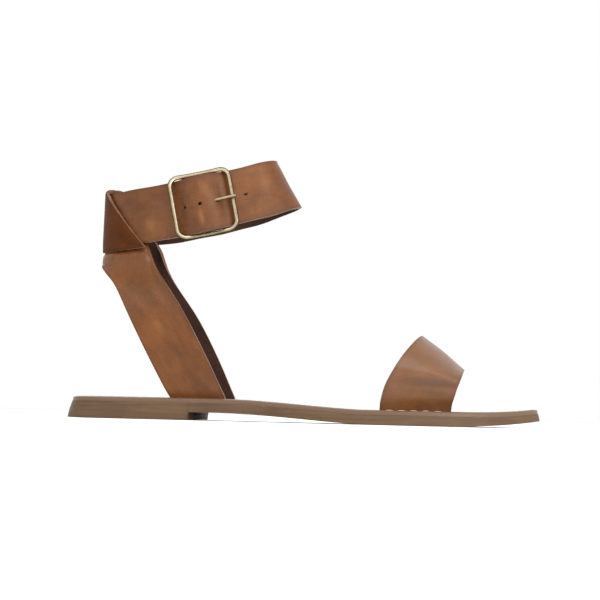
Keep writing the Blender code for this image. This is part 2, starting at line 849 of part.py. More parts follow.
def main():
    """Build the sandal."""
    for item in list(bpy.data.objects):
        bpy.data.objects.remove(item)
    build_outsole()
    build_footbed()
    build_toe_strap()
    build_heel_strap()
    build_ankle_strap()
    build_buckle_frame()
    build_buckle_prong()
    centre_on_sole(list(bpy.data.objects))
    bpy.context.view_layer.update()


main()
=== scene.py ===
"""Looks of the ankle strap sandal: leather, stitching, moulded sole and antique buckle.

Sizes are in millimetres in the tables and turned into metres when a mesh is finished. The
toe points along +X, the inner side of the foot along +Y, and the shoe stands on Z = 0.
"""

import json
import logging
from collections.abc import Callable, Sequence
from dataclasses import dataclass, field
from enum import Enum
from math import cos, hypot, pi, radians, sin, sqrt, tan

import bmesh
import bpy
from mathutils import Matrix, Vector

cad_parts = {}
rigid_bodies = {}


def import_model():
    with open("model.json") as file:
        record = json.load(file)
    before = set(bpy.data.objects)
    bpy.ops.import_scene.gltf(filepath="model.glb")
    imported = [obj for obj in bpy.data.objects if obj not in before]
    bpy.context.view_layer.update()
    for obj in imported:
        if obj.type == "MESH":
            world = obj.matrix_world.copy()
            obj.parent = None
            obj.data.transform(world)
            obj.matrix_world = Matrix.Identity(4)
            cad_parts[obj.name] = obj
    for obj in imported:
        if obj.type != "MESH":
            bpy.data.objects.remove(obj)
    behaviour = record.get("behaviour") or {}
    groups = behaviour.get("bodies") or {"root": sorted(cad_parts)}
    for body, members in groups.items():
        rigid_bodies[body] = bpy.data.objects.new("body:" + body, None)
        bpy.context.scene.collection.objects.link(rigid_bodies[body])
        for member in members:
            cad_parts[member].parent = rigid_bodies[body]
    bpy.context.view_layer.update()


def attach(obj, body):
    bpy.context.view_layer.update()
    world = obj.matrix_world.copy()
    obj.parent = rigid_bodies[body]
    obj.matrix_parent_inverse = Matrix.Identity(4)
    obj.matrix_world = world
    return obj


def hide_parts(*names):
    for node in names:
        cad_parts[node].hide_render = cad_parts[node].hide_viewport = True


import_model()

LOG = logging.getLogger("sandal")
MM = 0.001
CUT_PLAY = 1e-5
FULL_CREASE = 0.6
BODY = "root"
Colour = tuple[float, float, float]


class Slot(Enum):
    """The record's material slots."""

    OUTSOLE = "outsole"
    FOOTBED = "footbed"
    STRAP = "strap_leather"
    BUCKLE = "buckle"


class Side(Enum):
    """The two sides of the foot, with the sign of Y."""

    OUTER = -1
    INNER = 1


def smoothstep(value: float) -> float:
    """Ease from 0 to 1 with level ends."""
    value = min(max(value, 0.0), 1.0)
    return value * value * (3.0 - 2.0 * value)


def spline(points: Sequence[Vector], steps: int, closed: bool = False) -> list[Vector]:
    """Draw a smooth curve through points.

    Args:
        points: the points that the curve passes.
        steps: how many points each span gets.
        closed: whether the curve returns to its start.

    Returns:
        The points of the curve.
    """
    count = len(points)
    curve = []
    for i in range(count if closed else count - 1):
        if closed:
            around = [points[(i + k) % count] for k in (-1, 0, 1, 2)]
        else:
            around = [points[min(max(i + k, 0), count - 1)] for k in (-1, 0, 1, 2)]
        before, start, end, after = around
        for k in range(steps):
            t = k / steps
            curve.append(
                0.5
                * (
                    2.0 * start
                    + (end - before) * t
                    + (2.0 * before - 5.0 * start + 4.0 * end - after) * t * t
                    + (3.0 * start - before - 3.0 * end + after) * t * t * t
                )
            )
    if not closed:
        curve.append(points[-1])
    return curve


def even_line(points: Sequence[Vector], count: int) -> list[Vector]:
    """Space points evenly along a line.

    Args:
        points: the corners of the line.
        count: how many points to return.

    Returns:
        Points at equal distances from the first to the last.
    """
    reach = [0.0]
    for a, b in zip(points, points[1:]):
        reach.append(reach[-1] + (b - a).length)
    result = []
    span = 0
    for k in range(count):
        target = reach[-1] * k / (count - 1)
        while span < len(points) - 2 and reach[span + 1] < target:
            span += 1
        length = reach[span + 1] - reach[span]
        part = (target - reach[span]) / length if length else 0.0
        result.append(points[span].lerp(points[span + 1], min(max(part, 0.0), 1.0)))
    return result


class Flow:
    """A value on its way through a material's nodes, with arithmetic."""

    def __init__(self, kit: "Shader", socket: bpy.types.NodeSocket) -> None:
        """Wrap a socket of a material's kit."""
        self.kit = kit
        self.socket = socket

    def math(self, operation: str, other: "Flow | float", swap: bool = False) -> "Flow":
        """Add a Math node.

        Args:
            operation: the node's operation.
            other: the second value.
            swap: whether the second value comes first.

        Returns:
            The node's result.
        """
        pair = (other, self) if swap else (self, other)
        node = self.kit.node("ShaderNodeMath", {"operation": operation}, {0: pair[0], 1: pair[1]})
        return Flow(self.kit, node.outputs[0])

    def __add__(self, other: "Flow | float") -> "Flow":
        """Add."""
        return self.math("ADD", other)

    __radd__ = __add__

    def __sub__(self, other: "Flow | float") -> "Flow":
        """Subtract."""
        return self.math("SUBTRACT", other)

    def __rsub__(self, other: "Flow | float") -> "Flow":
        """Subtract this from a value."""
        return self.math("SUBTRACT", other, swap=True)

    def __mul__(self, other: "Flow | float") -> "Flow":
        """Multiply."""
        return self.math("MULTIPLY", other)

    __rmul__ = __mul__

    def ease(self, low: float, high: float) -> "Flow":
        """Ease from 0 to 1 between two values.

        Args:
            low: the value that gives 0.
            high: the value that gives 1; it may be the smaller.

        Returns:
            The eased flow.
        """
        flipped = low > high
        node = self.kit.node(
            "ShaderNodeMapRange",
            {"interpolation_type": "SMOOTHSTEP"},
            {0: self, 1: min(low, high), 2: max(low, high), 3: float(flipped), 4: float(not flipped)},
        )
        return Flow(self.kit, node.outputs[0])


class Shader:
    """A Principled material and the nodes that feed it."""

    def __init__(self, name: str) -> None:
        """Start a material.

        Args:
            name: the material's name.
        """
        self.material = bpy.data.materials.new(name)
        self.material.use_nodes = True
        self.tree = self.material.node_tree
        self.surface = self.tree.nodes["Principled BSDF"]

    def node(self, kind: str, settings: dict | None = None, inputs: dict | None = None) -> bpy.types.Node:
        """Add any node.

        Args:
            kind: the node's type.
            settings: its properties, set before its sockets.
            inputs: values or flows by the socket's name or number.

        Returns:
            The new node.
        """
        node = self.tree.nodes.new(kind)
        for key, value in (settings or {}).items():
            setattr(node, key, value)
        for key, value in (inputs or {}).items():
            if isinstance(value, Flow):
                self.tree.links.new(value.socket, node.inputs[key])
            else:
                node.inputs[key].default_value = value
        return node

    def uv(self, along: float = 1.0, across: float = 1.0) -> Flow:
        """Read the piece's own layout.

        Args:
            along: scale along the strap.
            across: scale across it.

        Returns:
            The scaled coordinates, in metres.
        """
        node = self.node("ShaderNodeUVMap", {"uv_map": "surface"})
        scaled = self.node(
            "ShaderNodeMapping", None, {"Vector": Flow(self, node.outputs[0]), "Scale": (along, across, 1.0)}
        )
        return Flow(self, scaled.outputs[0])

    def place(self, scale: tuple[float, float, float] = (1.0, 1.0, 1.0)) -> Flow:
        """Give the coordinates of the object.

        Args:
            scale: factor per direction.

        Returns:
            The scaled coordinates, in metres.
        """
        node = self.node("ShaderNodeTexCoord")
        inputs = {"Vector": Flow(self, node.outputs["Object"]), "Scale": scale}
        scaled = self.node("ShaderNodeMapping", None, inputs)
        return Flow(self, scaled.outputs[0])

    def attribute(self, name: str) -> Flow:
        """A number that the mesh carries."""
        return Flow(self, self.node("ShaderNodeAttribute", {"attribute_name": name}).outputs["Fac"])

    def noise(self, vector: Flow, scale: float, detail: float = 2.0, roughness: float = 0.5) -> Flow:
        """Soft noise from 0 to 1, with so many features to the metre."""
        inputs = {"Vector": vector, "Scale": scale, "Detail": detail, "Roughness": roughness}
        return Flow(self, self.node("ShaderNodeTexNoise", None, inputs).outputs["Fac"])

    def cells(self, vector: Flow, scale: float) -> Flow:
        """Distance to the nearest of many scattered points."""
        node = self.node("ShaderNodeTexVoronoi", None, {"Vector": vector, "Scale": scale})
        return Flow(self, node.outputs["Distance"])

    def mix(self, factor: Flow | float, first: Flow | Colour, second: Flow | Colour) -> Flow:
        """Mix two colours.

        Args:
            factor: how much of the second.
            first: the first colour.
            second: the second colour.

        Returns:
            The mixed colour.
        """
        colours = [(*c, 1.0) if isinstance(c, tuple) else c for c in (first, second)]
        settings = {"data_type": "RGBA", "blend_type": "MIX", "clamp_factor": True}
        node = self.node("ShaderNodeMix", settings, {0: factor, 6: colours[0], 7: colours[1]})
        return Flow(self, node.outputs[2])

    def bump(self, height: Flow, distance: float, strength: float = 1.0) -> Flow:
        """Turn a height into a normal, with its depth in metres."""
        inputs = {"Height": height, "Distance": distance, "Strength": strength}
        return Flow(self, self.node("ShaderNodeBump", None, inputs).outputs[0])

    def finish(self, **sockets: Flow | float | Colour) -> bpy.types.Material:
        """Set the surface's sockets.

        Args:
            sockets: values or flows by the socket's name in lower case with underscores.

        Returns:
            The material.
        """
        for key, value in sockets.items():
            name = key.replace("_", " ").title().replace("Ior", "IOR")
            if isinstance(value, Flow):
                self.tree.links.new(value.socket, self.surface.inputs[name])
            elif isinstance(value, tuple):
                self.surface.inputs[name].default_value = (*value, 1.0)
            else:
                self.surface.inputs[name].default_value = value
        return self.material


@dataclass(frozen=True)
class StrapLeather:
    """Smooth dyed leather with half gloss, burnished along its borders, with painted shade in its creases and
    a painted highlight on its ridges.
    """

    name: str
    light: Colour = (0.168, 0.055, 0.0095)
    dark: Colour = (0.078, 0.023, 0.0036)
    # The dark colour of the burnished borders and flecks, also used as painted shade in crease troughs.
    burnish_and_crease_shade: Colour = (0.034, 0.010, 0.003)
    # The light colour of the painted highlight on crease ridges.
    ridge_highlight: Colour = (0.29, 0.130, 0.045)
    roughness: float = 0.42
    gloss: float = 0.24
    coat: float = 0.13

    def make(self) -> bpy.types.Material:
        """Build the material on the strap's own layout.

        Returns:
            The material.
        """
        kit = Shader(self.name)
        surface = kit.uv()
        cloud = kit.noise(surface, 34.0, 3.0, 0.6)
        patch = kit.noise(surface, 150.0, 4.0, 0.62)
        streak = kit.noise(kit.uv(60.0, 420.0), 1.0, 3.0, 0.6)
        grain = kit.noise(surface, 1500.0, 2.0, 0.6)
        pores = kit.cells(surface, 900.0).ease(0.10, 0.42)
        rim = kit.attribute("rim").ease(2.2, 0.2)
        crease = kit.attribute("crease")
        tone = (cloud * 0.62 + patch * 0.30 + streak * 0.16).ease(0.30, 0.78)
        base = kit.mix(tone, self.dark, self.light)
        # Painted shade: crease troughs are darkened.
        base = kit.mix(crease.ease(0.05, 0.9) * 0.45, base, self.burnish_and_crease_shade)
        # Painted highlight: crease ridges are lightened.
        base = kit.mix((0.0 - crease).ease(0.05, 0.9) * 0.40, base, self.ridge_highlight)
        base = kit.mix(rim * (0.15 + 0.30 * patch), base, self.burnish_and_crease_shade)
        fleck = kit.cells(surface, 210.0).ease(0.085, 0.03)
        base = kit.mix(fleck * patch.ease(0.45, 0.62) * 0.55, base, self.burnish_and_crease_shade)
        rough = self.roughness + (patch - 0.5) * 0.22 + (streak - 0.5) * 0.12 + rim * 0.10
        height = pores * 0.35 + grain * 0.30 + patch * 1.1 + streak * 0.35
        return kit.finish(
            base_color=base,
            roughness=rough,
            specular_ior_level=self.gloss,
            coat_weight=self.coat,
            coat_roughness=0.30,
            normal=kit.bump(height, 0.00017, 0.9),
        )


@dataclass(frozen=True)
class FleshSide:
    """Napped inner side of the strap leather."""

    name: str
    light: Colour = (0.062, 0.028, 0.018)
    dark: Colour = (0.024, 0.011, 0.008)

    def make(self) -> bpy.types.Material:
        """Build the material on the strap's own layout.

        Returns:
            The material.
        """
        kit = Shader(self.name)
        surface = kit.uv()
        cloud = kit.noise(surface, 60.0, 4.0, 0.65)
        nap = kit.noise(kit.uv(900.0, 1700.0), 1.0, 4.0, 0.7)
        base = kit.mix((cloud * 0.6 + nap * 0.5).ease(0.3, 0.8), self.dark, self.light)
        return kit.finish(
            base_color=base,
            roughness=0.90,
            specular_ior_level=0.15,
            normal=kit.bump(nap + cloud, 0.00022, 0.8),
        )


@dataclass(frozen=True)
class CutEdge:
    """Cut edge of the leather, with its short fibres."""

    name: str
    light: Colour = (0.260, 0.135, 0.070)
    dark: Colour = (0.085, 0.036, 0.019)

    def make(self) -> bpy.types.Material:
        """Build the material on object coordinates.

        Returns:
            The material.
        """
        kit = Shader(self.name)
        space = kit.place()
        fibre = kit.noise(space, 1600.0, 3.0, 0.65)
        cloud = kit.noise(space, 130.0, 3.0, 0.6)
        base = kit.mix((fibre * 0.5 + cloud * 0.6).ease(0.35, 0.8), self.dark, self.light)
        return kit.finish(base_color=base, roughness=0.62, normal=kit.bump(fibre, 0.00010, 0.8))


@dataclass(frozen=True)
class FootbedLeather:
    """Brown leather of the footbed, darker on its sloping rim and in the stitch groove."""

    name: str
    light: Colour = (0.215, 0.100, 0.056)
    dark: Colour = (0.120, 0.052, 0.029)
    rim: Colour = (0.110, 0.056, 0.034)
    side: Colour = (0.122, 0.072, 0.040)

    def make(self) -> bpy.types.Material:
        """Build the material on object coordinates.

        Returns:
            The material.
        """
        kit = Shader(self.name)
        space = kit.place()
        cloud = kit.noise(space, 22.0, 3.0, 0.6)
        patch = kit.noise(space, 130.0, 4.0, 0.6)
        grain = kit.noise(space, 1400.0, 2.0, 0.6)
        pores = kit.cells(space, 800.0).ease(0.10, 0.42)
        zone = kit.attribute("rim")
        base = kit.mix((cloud * 0.6 + patch * 0.45).ease(0.3, 0.8), self.dark, self.light)
        base = kit.mix(zone.ease(2.4, 1.2) * 0.75, base, self.rim)
        base = kit.mix(kit.attribute("groove") * 0.55, base, self.rim)
        base = kit.mix(kit.attribute("wall"), base, self.side)
        wear = kit.attribute("tread").ease(0.1, 1.0)
        base = kit.mix(wear * (0.30 + 0.30 * patch), base, self.rim)
        rough = 0.50 + (patch - 0.5) * 0.20 - wear * 0.08
        height = pores * 0.4 + grain * 0.3 + patch * 0.8
        return kit.finish(
            base_color=base,
            roughness=rough,
            specular_ior_level=0.35,
            coat_weight=0.10,
            coat_roughness=0.35,
            normal=kit.bump(height, 0.00012, 0.8),
        )


@dataclass(frozen=True)
class SoleRubber:
    """Moulded sole: tan side with flow streaks, darker stippled underside, and a painted highlight along the
    side's lower edge.
    """

    name: str
    light: Colour
    dark: Colour
    edge: Colour
    roughness: float
    stipple: float

    def make(self) -> bpy.types.Material:
        """Build the material on object coordinates.

        Returns:
            The material.
        """
        kit = Shader(self.name)
        space = kit.place()
        cloud = kit.noise(space, 30.0, 4.0, 0.6)
        streak = kit.noise(kit.place((26.0, 26.0, 620.0)), 1.0, 4.0, 0.6)
        speck = kit.noise(space, 1900.0, 2.0, 0.6)
        base = kit.mix((cloud * 0.55 + streak * 0.55).ease(0.32, 0.78), self.dark, self.light)
        # Painted highlight: the band along the lower edge of the side is lightened.
        base = kit.mix(kit.attribute("rim").ease(1.7, 0.5) * 0.8, base, self.edge)
        base = kit.mix(speck.ease(0.62, 0.78) * 0.25, base, self.dark)
        height = speck * self.stipple + cloud * 0.6 + streak * 0.7
        rough = self.roughness + (cloud - 0.5) * 0.18
        return kit.finish(
            base_color=base, roughness=rough, specular_ior_level=0.32, normal=kit.bump(height, 0.00022, 0.8)
        )


@dataclass(frozen=True)
class Thread:
    """Waxed off-white thread."""

    name: str
    light: Colour = (0.83, 0.70, 0.52)
    dark: Colour = (0.50, 0.38, 0.25)

    def make(self) -> bpy.types.Material:
        """Build the material on object coordinates.

        Returns:
            The material.
        """
        kit = Shader(self.name)
        twist = kit.noise(kit.place((1500.0, 1500.0, 400.0)), 1.0, 3.0, 0.6)
        base = kit.mix(twist.ease(0.25, 0.7), self.dark, self.light)
        return kit.finish(base_color=base, roughness=0.62, normal=kit.bump(twist, 0.00015, 0.9))


@dataclass(frozen=True)
class AntiqueBrass:
    """Antique brass, lighter where it faces outwards, from wear and a painted highlight, and dark where it
    faces away, from tarnish and painted shade.
    """

    name: str
    # The light colour is wear and painted highlight; the dark one is tarnish and painted shade.
    bright_wear_and_highlight: Colour = (0.52, 0.43, 0.295)
    brass: Colour = (0.26, 0.19, 0.105)
    patina_and_shade: Colour = (0.035, 0.026, 0.015)

    def make(self) -> bpy.types.Material:
        """Build the material on object coordinates.

        Returns:
            The material.
        """
        kit = Shader(self.name)
        space = kit.place()
        cloud = kit.noise(space, 420.0, 4.0, 0.65)
        fine = kit.noise(space, 2600.0, 3.0, 0.6)
        wear_and_highlight = kit.attribute("wear_and_highlight")
        # The mask follows how each face is turned, so these mixes paint highlight and shade besides wear and
        # tarnish.
        base = kit.mix((wear_and_highlight + (cloud - 0.5) * 0.5).ease(0.15, 0.60), self.patina_and_shade, self.brass)
        base = kit.mix((wear_and_highlight + (cloud - 0.5) * 0.4).ease(0.62, 0.92), base, self.bright_wear_and_highlight)
        rough = 0.52 - wear_and_highlight * 0.24 + (cloud - 0.5) * 0.20
        return kit.finish(
            base_color=base,
            metallic=0.92,
            roughness=rough,
            normal=kit.bump(fine + cloud * 2.0, 0.00006, 0.7),
        )


def add_piece(
    name: str,
    mesh_data: bmesh.types.BMesh,
    materials: Sequence[bpy.types.Material],
    replaces: str | None,
) -> bpy.types.Object:
    """Turn a bmesh in metres into a finished piece of the shoe.

    Args:
        name: the piece's name.
        mesh_data: its mesh, freed here.
        materials: its materials in the order of their numbers.
        replaces: the solid that it stands for, if any.

    Returns:
        The new object.
    """
    mesh = bpy.data.meshes.new(name)
    mesh_data.to_mesh(mesh)
    mesh_data.free()
    for finish in materials:
        mesh.materials.append(finish)
    mesh.shade_smooth()
    piece = bpy.data.objects.new(name, mesh)
    bpy.context.scene.collection.objects.link(piece)
    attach(piece, BODY)
    if replaces is not None:
        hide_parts(replaces)
    LOG.info("%s: %d faces before its modifiers", name, len(mesh.polygons))
    return piece


def round_edges(
    piece: bpy.types.Object, width: float, segments: int, limit: float, subdivide: int = 0
) -> None:
    """Round a piece's edges and smooth it.

    Args:
        piece: the piece.
        width: the rounding in millimetres.
        segments: how many steps the rounding has.
        limit: the smallest angle in degrees that is rounded.
        subdivide: how often the piece is subdivided afterwards.
    """
    bevel = piece.modifiers.new("Rounding", "BEVEL")
    bevel.width = width * MM
    bevel.segments = segments
    bevel.limit_method = "ANGLE"
    bevel.angle_limit = radians(limit)
    bevel.harden_normals = False
    if subdivide:
        smooth = piece.modifiers.new("Smoothing", "SUBSURF")
        smooth.levels = subdivide
        smooth.render_levels = subdivide


@dataclass
class SoleForm:
    """The sole's shape, shared by outsole, footbed and stitching."""

    length: float = 255.0
    outsole_thick: float = 4.8
    footbed_thick: float = 2.3
    layer_gap: float = 0.3
    heel_lift: float = 4.0
    overcut: float = 0.3
    toe_spring: float = 3.8
    toe_thinning: float = 0.9
    spring_start: float = 205.0
    waist_start: float = 84.0
    waist_end: float = 176.0
    breast_outer_x: float = 69.5
    breast_inner_x: float = 74.5
    breast_reach: float = 60.0
    heel_flare: float = 3.0
    toe_flare: float = 1.4
    heel_back_y: float = 1.3
    toe_tip_y: float = 8.5
    steps: int = 9
    outline: tuple[tuple[float, float, float], ...] = (
        (3.4, -12.6, 14.4),
        (10.1, -21.2, 22.8),
        (21.6, -27.0, 28.4),
        (37.4, -28.4, 29.6),
        (56.8, -28.9, 27.9),
        (78.4, -30.0, 24.3),
        (100.3, -31.5, 21.5),
        (120.0, -35.6, 23.6),
        (139.2, -39.9, 31.0),
        (158.1, -43.4, 38.6),
        (176.5, -44.6, 43.2),
        (194.0, -42.6, 44.6),
        (210.7, -38.2, 43.7),
        (226.4, -30.6, 40.4),
        (239.8, -20.2, 34.6),
        (249.0, -9.6, 26.2),
        (253.7, -0.4, 17.4),
    )
    shift: Vector = field(init=False)

    def __post_init__(self) -> None:
        """Work out how far the tables lie from the shoe's frame."""
        loop = self.loop(lambda x: 0.0)
        xs = [point.x for point in loop]
        ys = [point.y for point in loop]
        self.shift = Vector((-(min(xs) + max(xs)) / 2.0, -(min(ys) + max(ys)) / 2.0, 0.0))

    def loop(self, inset: Callable[[float], float]) -> list[Vector]:
        """Return the outline.

        Args:
            inset: how far it moves inwards at an x.

        Returns:
            Plan points around the sole, from the heel along the outer side.
        """
        heel = Vector((0.0, self.heel_back_y))
        toe = Vector((self.length, self.toe_tip_y))
        outer = [Vector((row[0], row[1])) for row in self.outline]
        inner = [Vector((row[0], row[2])) for row in self.outline]
        loop = spline([heel] + outer + [toe] + inner[::-1], self.steps, closed=True)
        moved = []
        for i, point in enumerate(loop):
            along = loop[(i + 1) % len(loop)] - loop[i - 1]
            inwards = Vector((-along.y, along.x)).normalized()
            moved.append(point + inwards * inset(point.x))
        return moved

    def flare(self, x: float) -> float:
        """How much narrower the top is than the ground edge."""
        return self.heel_flare + (self.toe_flare - self.heel_flare) * smoothstep((x - 10.0) / 60.0)

    def spring(self, x: float) -> float:
        """How far along the toe spring an x lies, from 0 to 1."""
        return max(0.0, (x - self.spring_start) / (self.length - self.spring_start))

    def ground_z(self, x: float) -> float:
        """Height of the underside without the waist's hollow."""
        return self.toe_spring * self.spring(x) ** 2

    def waist_z(self, x: float) -> float:
        """Height of the hollow between heel and ball."""
        along = min(max((x - self.waist_start) / (self.waist_end - self.waist_start), 0.0), 1.0)
        return (self.heel_lift + self.overcut) * (0.5 + 0.5 * cos(pi * along)) - self.overcut

    def outsole_top(self, x: float) -> float:
        """Height of the outsole's upper face."""
        thin = self.toe_thinning * smoothstep(self.spring(x))
        return max(self.waist_z(x), 0.0) + self.ground_z(x) + self.outsole_thick - thin

    def footbed_top(self, x: float) -> float:
        """Height of the footbed's upper face."""
        return self.outsole_top(x) + self.layer_gap + self.footbed_thick

    def to_frame(self, point: Vector) -> Vector:
        """Turn a table point in millimetres into the shoe's frame in metres."""
        return (point + self.shift) * MM


SOLE = SoleForm()


def plan_disc(loop: Sequence[Vector], z: float, mesh_data: bmesh.types.BMesh) -> bmesh.types.BMFace:
    """Add a flat face with a given outline.

    Args:
        loop: its plan points.
        z: its height.
        mesh_data: the mesh that gets it.

    Returns:
        The new face.
    """
    made = bmesh.ops.create_circle(mesh_data, cap_ends=True, segments=len(loop), radius=1.0)
    for vert, point in zip(made["verts"], loop):
        vert.co = Vector((point.x, point.y, z))
    return made["verts"][0].link_faces[0]


def slice_mesh(mesh_data: bmesh.types.BMesh, origin: Vector, normal: Vector) -> None:
    """Cut every face of a mesh along a plane and keep both halves."""
    geometry = mesh_data.verts[:] + mesh_data.edges[:] + mesh_data.faces[:]
    bmesh.ops.bisect_plane(
        mesh_data, geom=geometry, dist=CUT_PLAY, plane_co=origin, plane_no=normal
    )


@dataclass
class Outsole:
    """Moulded outsole with heel, waist, flared side and toe spring."""

    form: SoleForm
    strip: float = 3.2
    breast_slope: float = 0.35
    side_bulge: float = 0.35
    ground_inset: float = 0.02

    def build(self) -> bpy.types.Object:
        """Build the outsole and dress it.

        Returns:
            The outsole.
        """
        form = self.form
        bm = bmesh.new()
        low = plan_disc(form.loop(lambda x: self.ground_inset), 0.0, bm)
        middle = plan_disc(form.loop(lambda x: form.flare(x) * 0.5 - 0.25 - self.side_bulge * 0.4), 0.5, bm)
        high = plan_disc(form.loop(lambda x: form.flare(x) - 0.5), 1.0, bm)
        for lower, upper in ((low, middle), (middle, high)):
            bmesh.ops.bridge_loops(bm, edges=lower.edges[:] + upper.edges[:])
        bm.faces.remove(middle)
        for k in range(1, int(form.length / self.strip)):
            slice_mesh(bm, Vector((k * self.strip, 0.0, 0.0)), Vector((1.0, 0.0, 0.0)))
        across = Vector((form.breast_inner_x - form.breast_outer_x, 2.0 * form.breast_reach, 0.0))
        normal = Vector((across.y, -across.x, 0.0)).normalized()
        start = Vector((form.breast_outer_x, -form.breast_reach, 0.0))
        for step in (0.0, self.breast_slope):
            slice_mesh(bm, start + normal * step, normal)
        rim = bm.verts.layers.float.new("rim")
        for vert in bm.verts:
            x, y, level = vert.co
            bottom = form.ground_z(x)
            if (vert.co - start).dot(normal) > self.breast_slope * 0.5:
                bottom += max(form.waist_z(x), 0.0)
            top = form.outsole_top(x)
            vert[rim] = level * (top - bottom)
            vert.co = form.to_frame(Vector((x, y, bottom + (top - bottom) * level)))
        # Flat faces get the full height, so the painted highlight stays on the side's lower edge.
        for vert in bm.verts:
            if all(abs(face.normal.z) > 0.5 for face in vert.link_faces):
                vert[rim] = form.outsole_thick
        bmesh.ops.recalc_face_normals(bm, faces=bm.faces)
        bm.normal_update()
        for face in bm.faces:
            face.material_index = 1 if face.normal.z < -0.75 else 0
        # The edge colour of both finishes is a painted highlight along the side's lower edge.
        side = SoleRubber(
            "sole_side",
            light=(0.122, 0.069, 0.032),
            dark=(0.064, 0.034, 0.016),
            edge=(0.27, 0.175, 0.095),
            roughness=0.62,
            stipple=0.35,
        )
        tread = SoleRubber(
            "sole_tread",
            light=(0.150, 0.098, 0.066),
            dark=(0.082, 0.053, 0.036),
            edge=(0.16, 0.11, 0.075),
            roughness=0.74,
            stipple=1.6,
        )
        piece = add_piece("outsole_body", bm, [side.make(), tread.make()], "outsole")
        round_edges(piece, 0.45, 3, 30.0)
        return piece


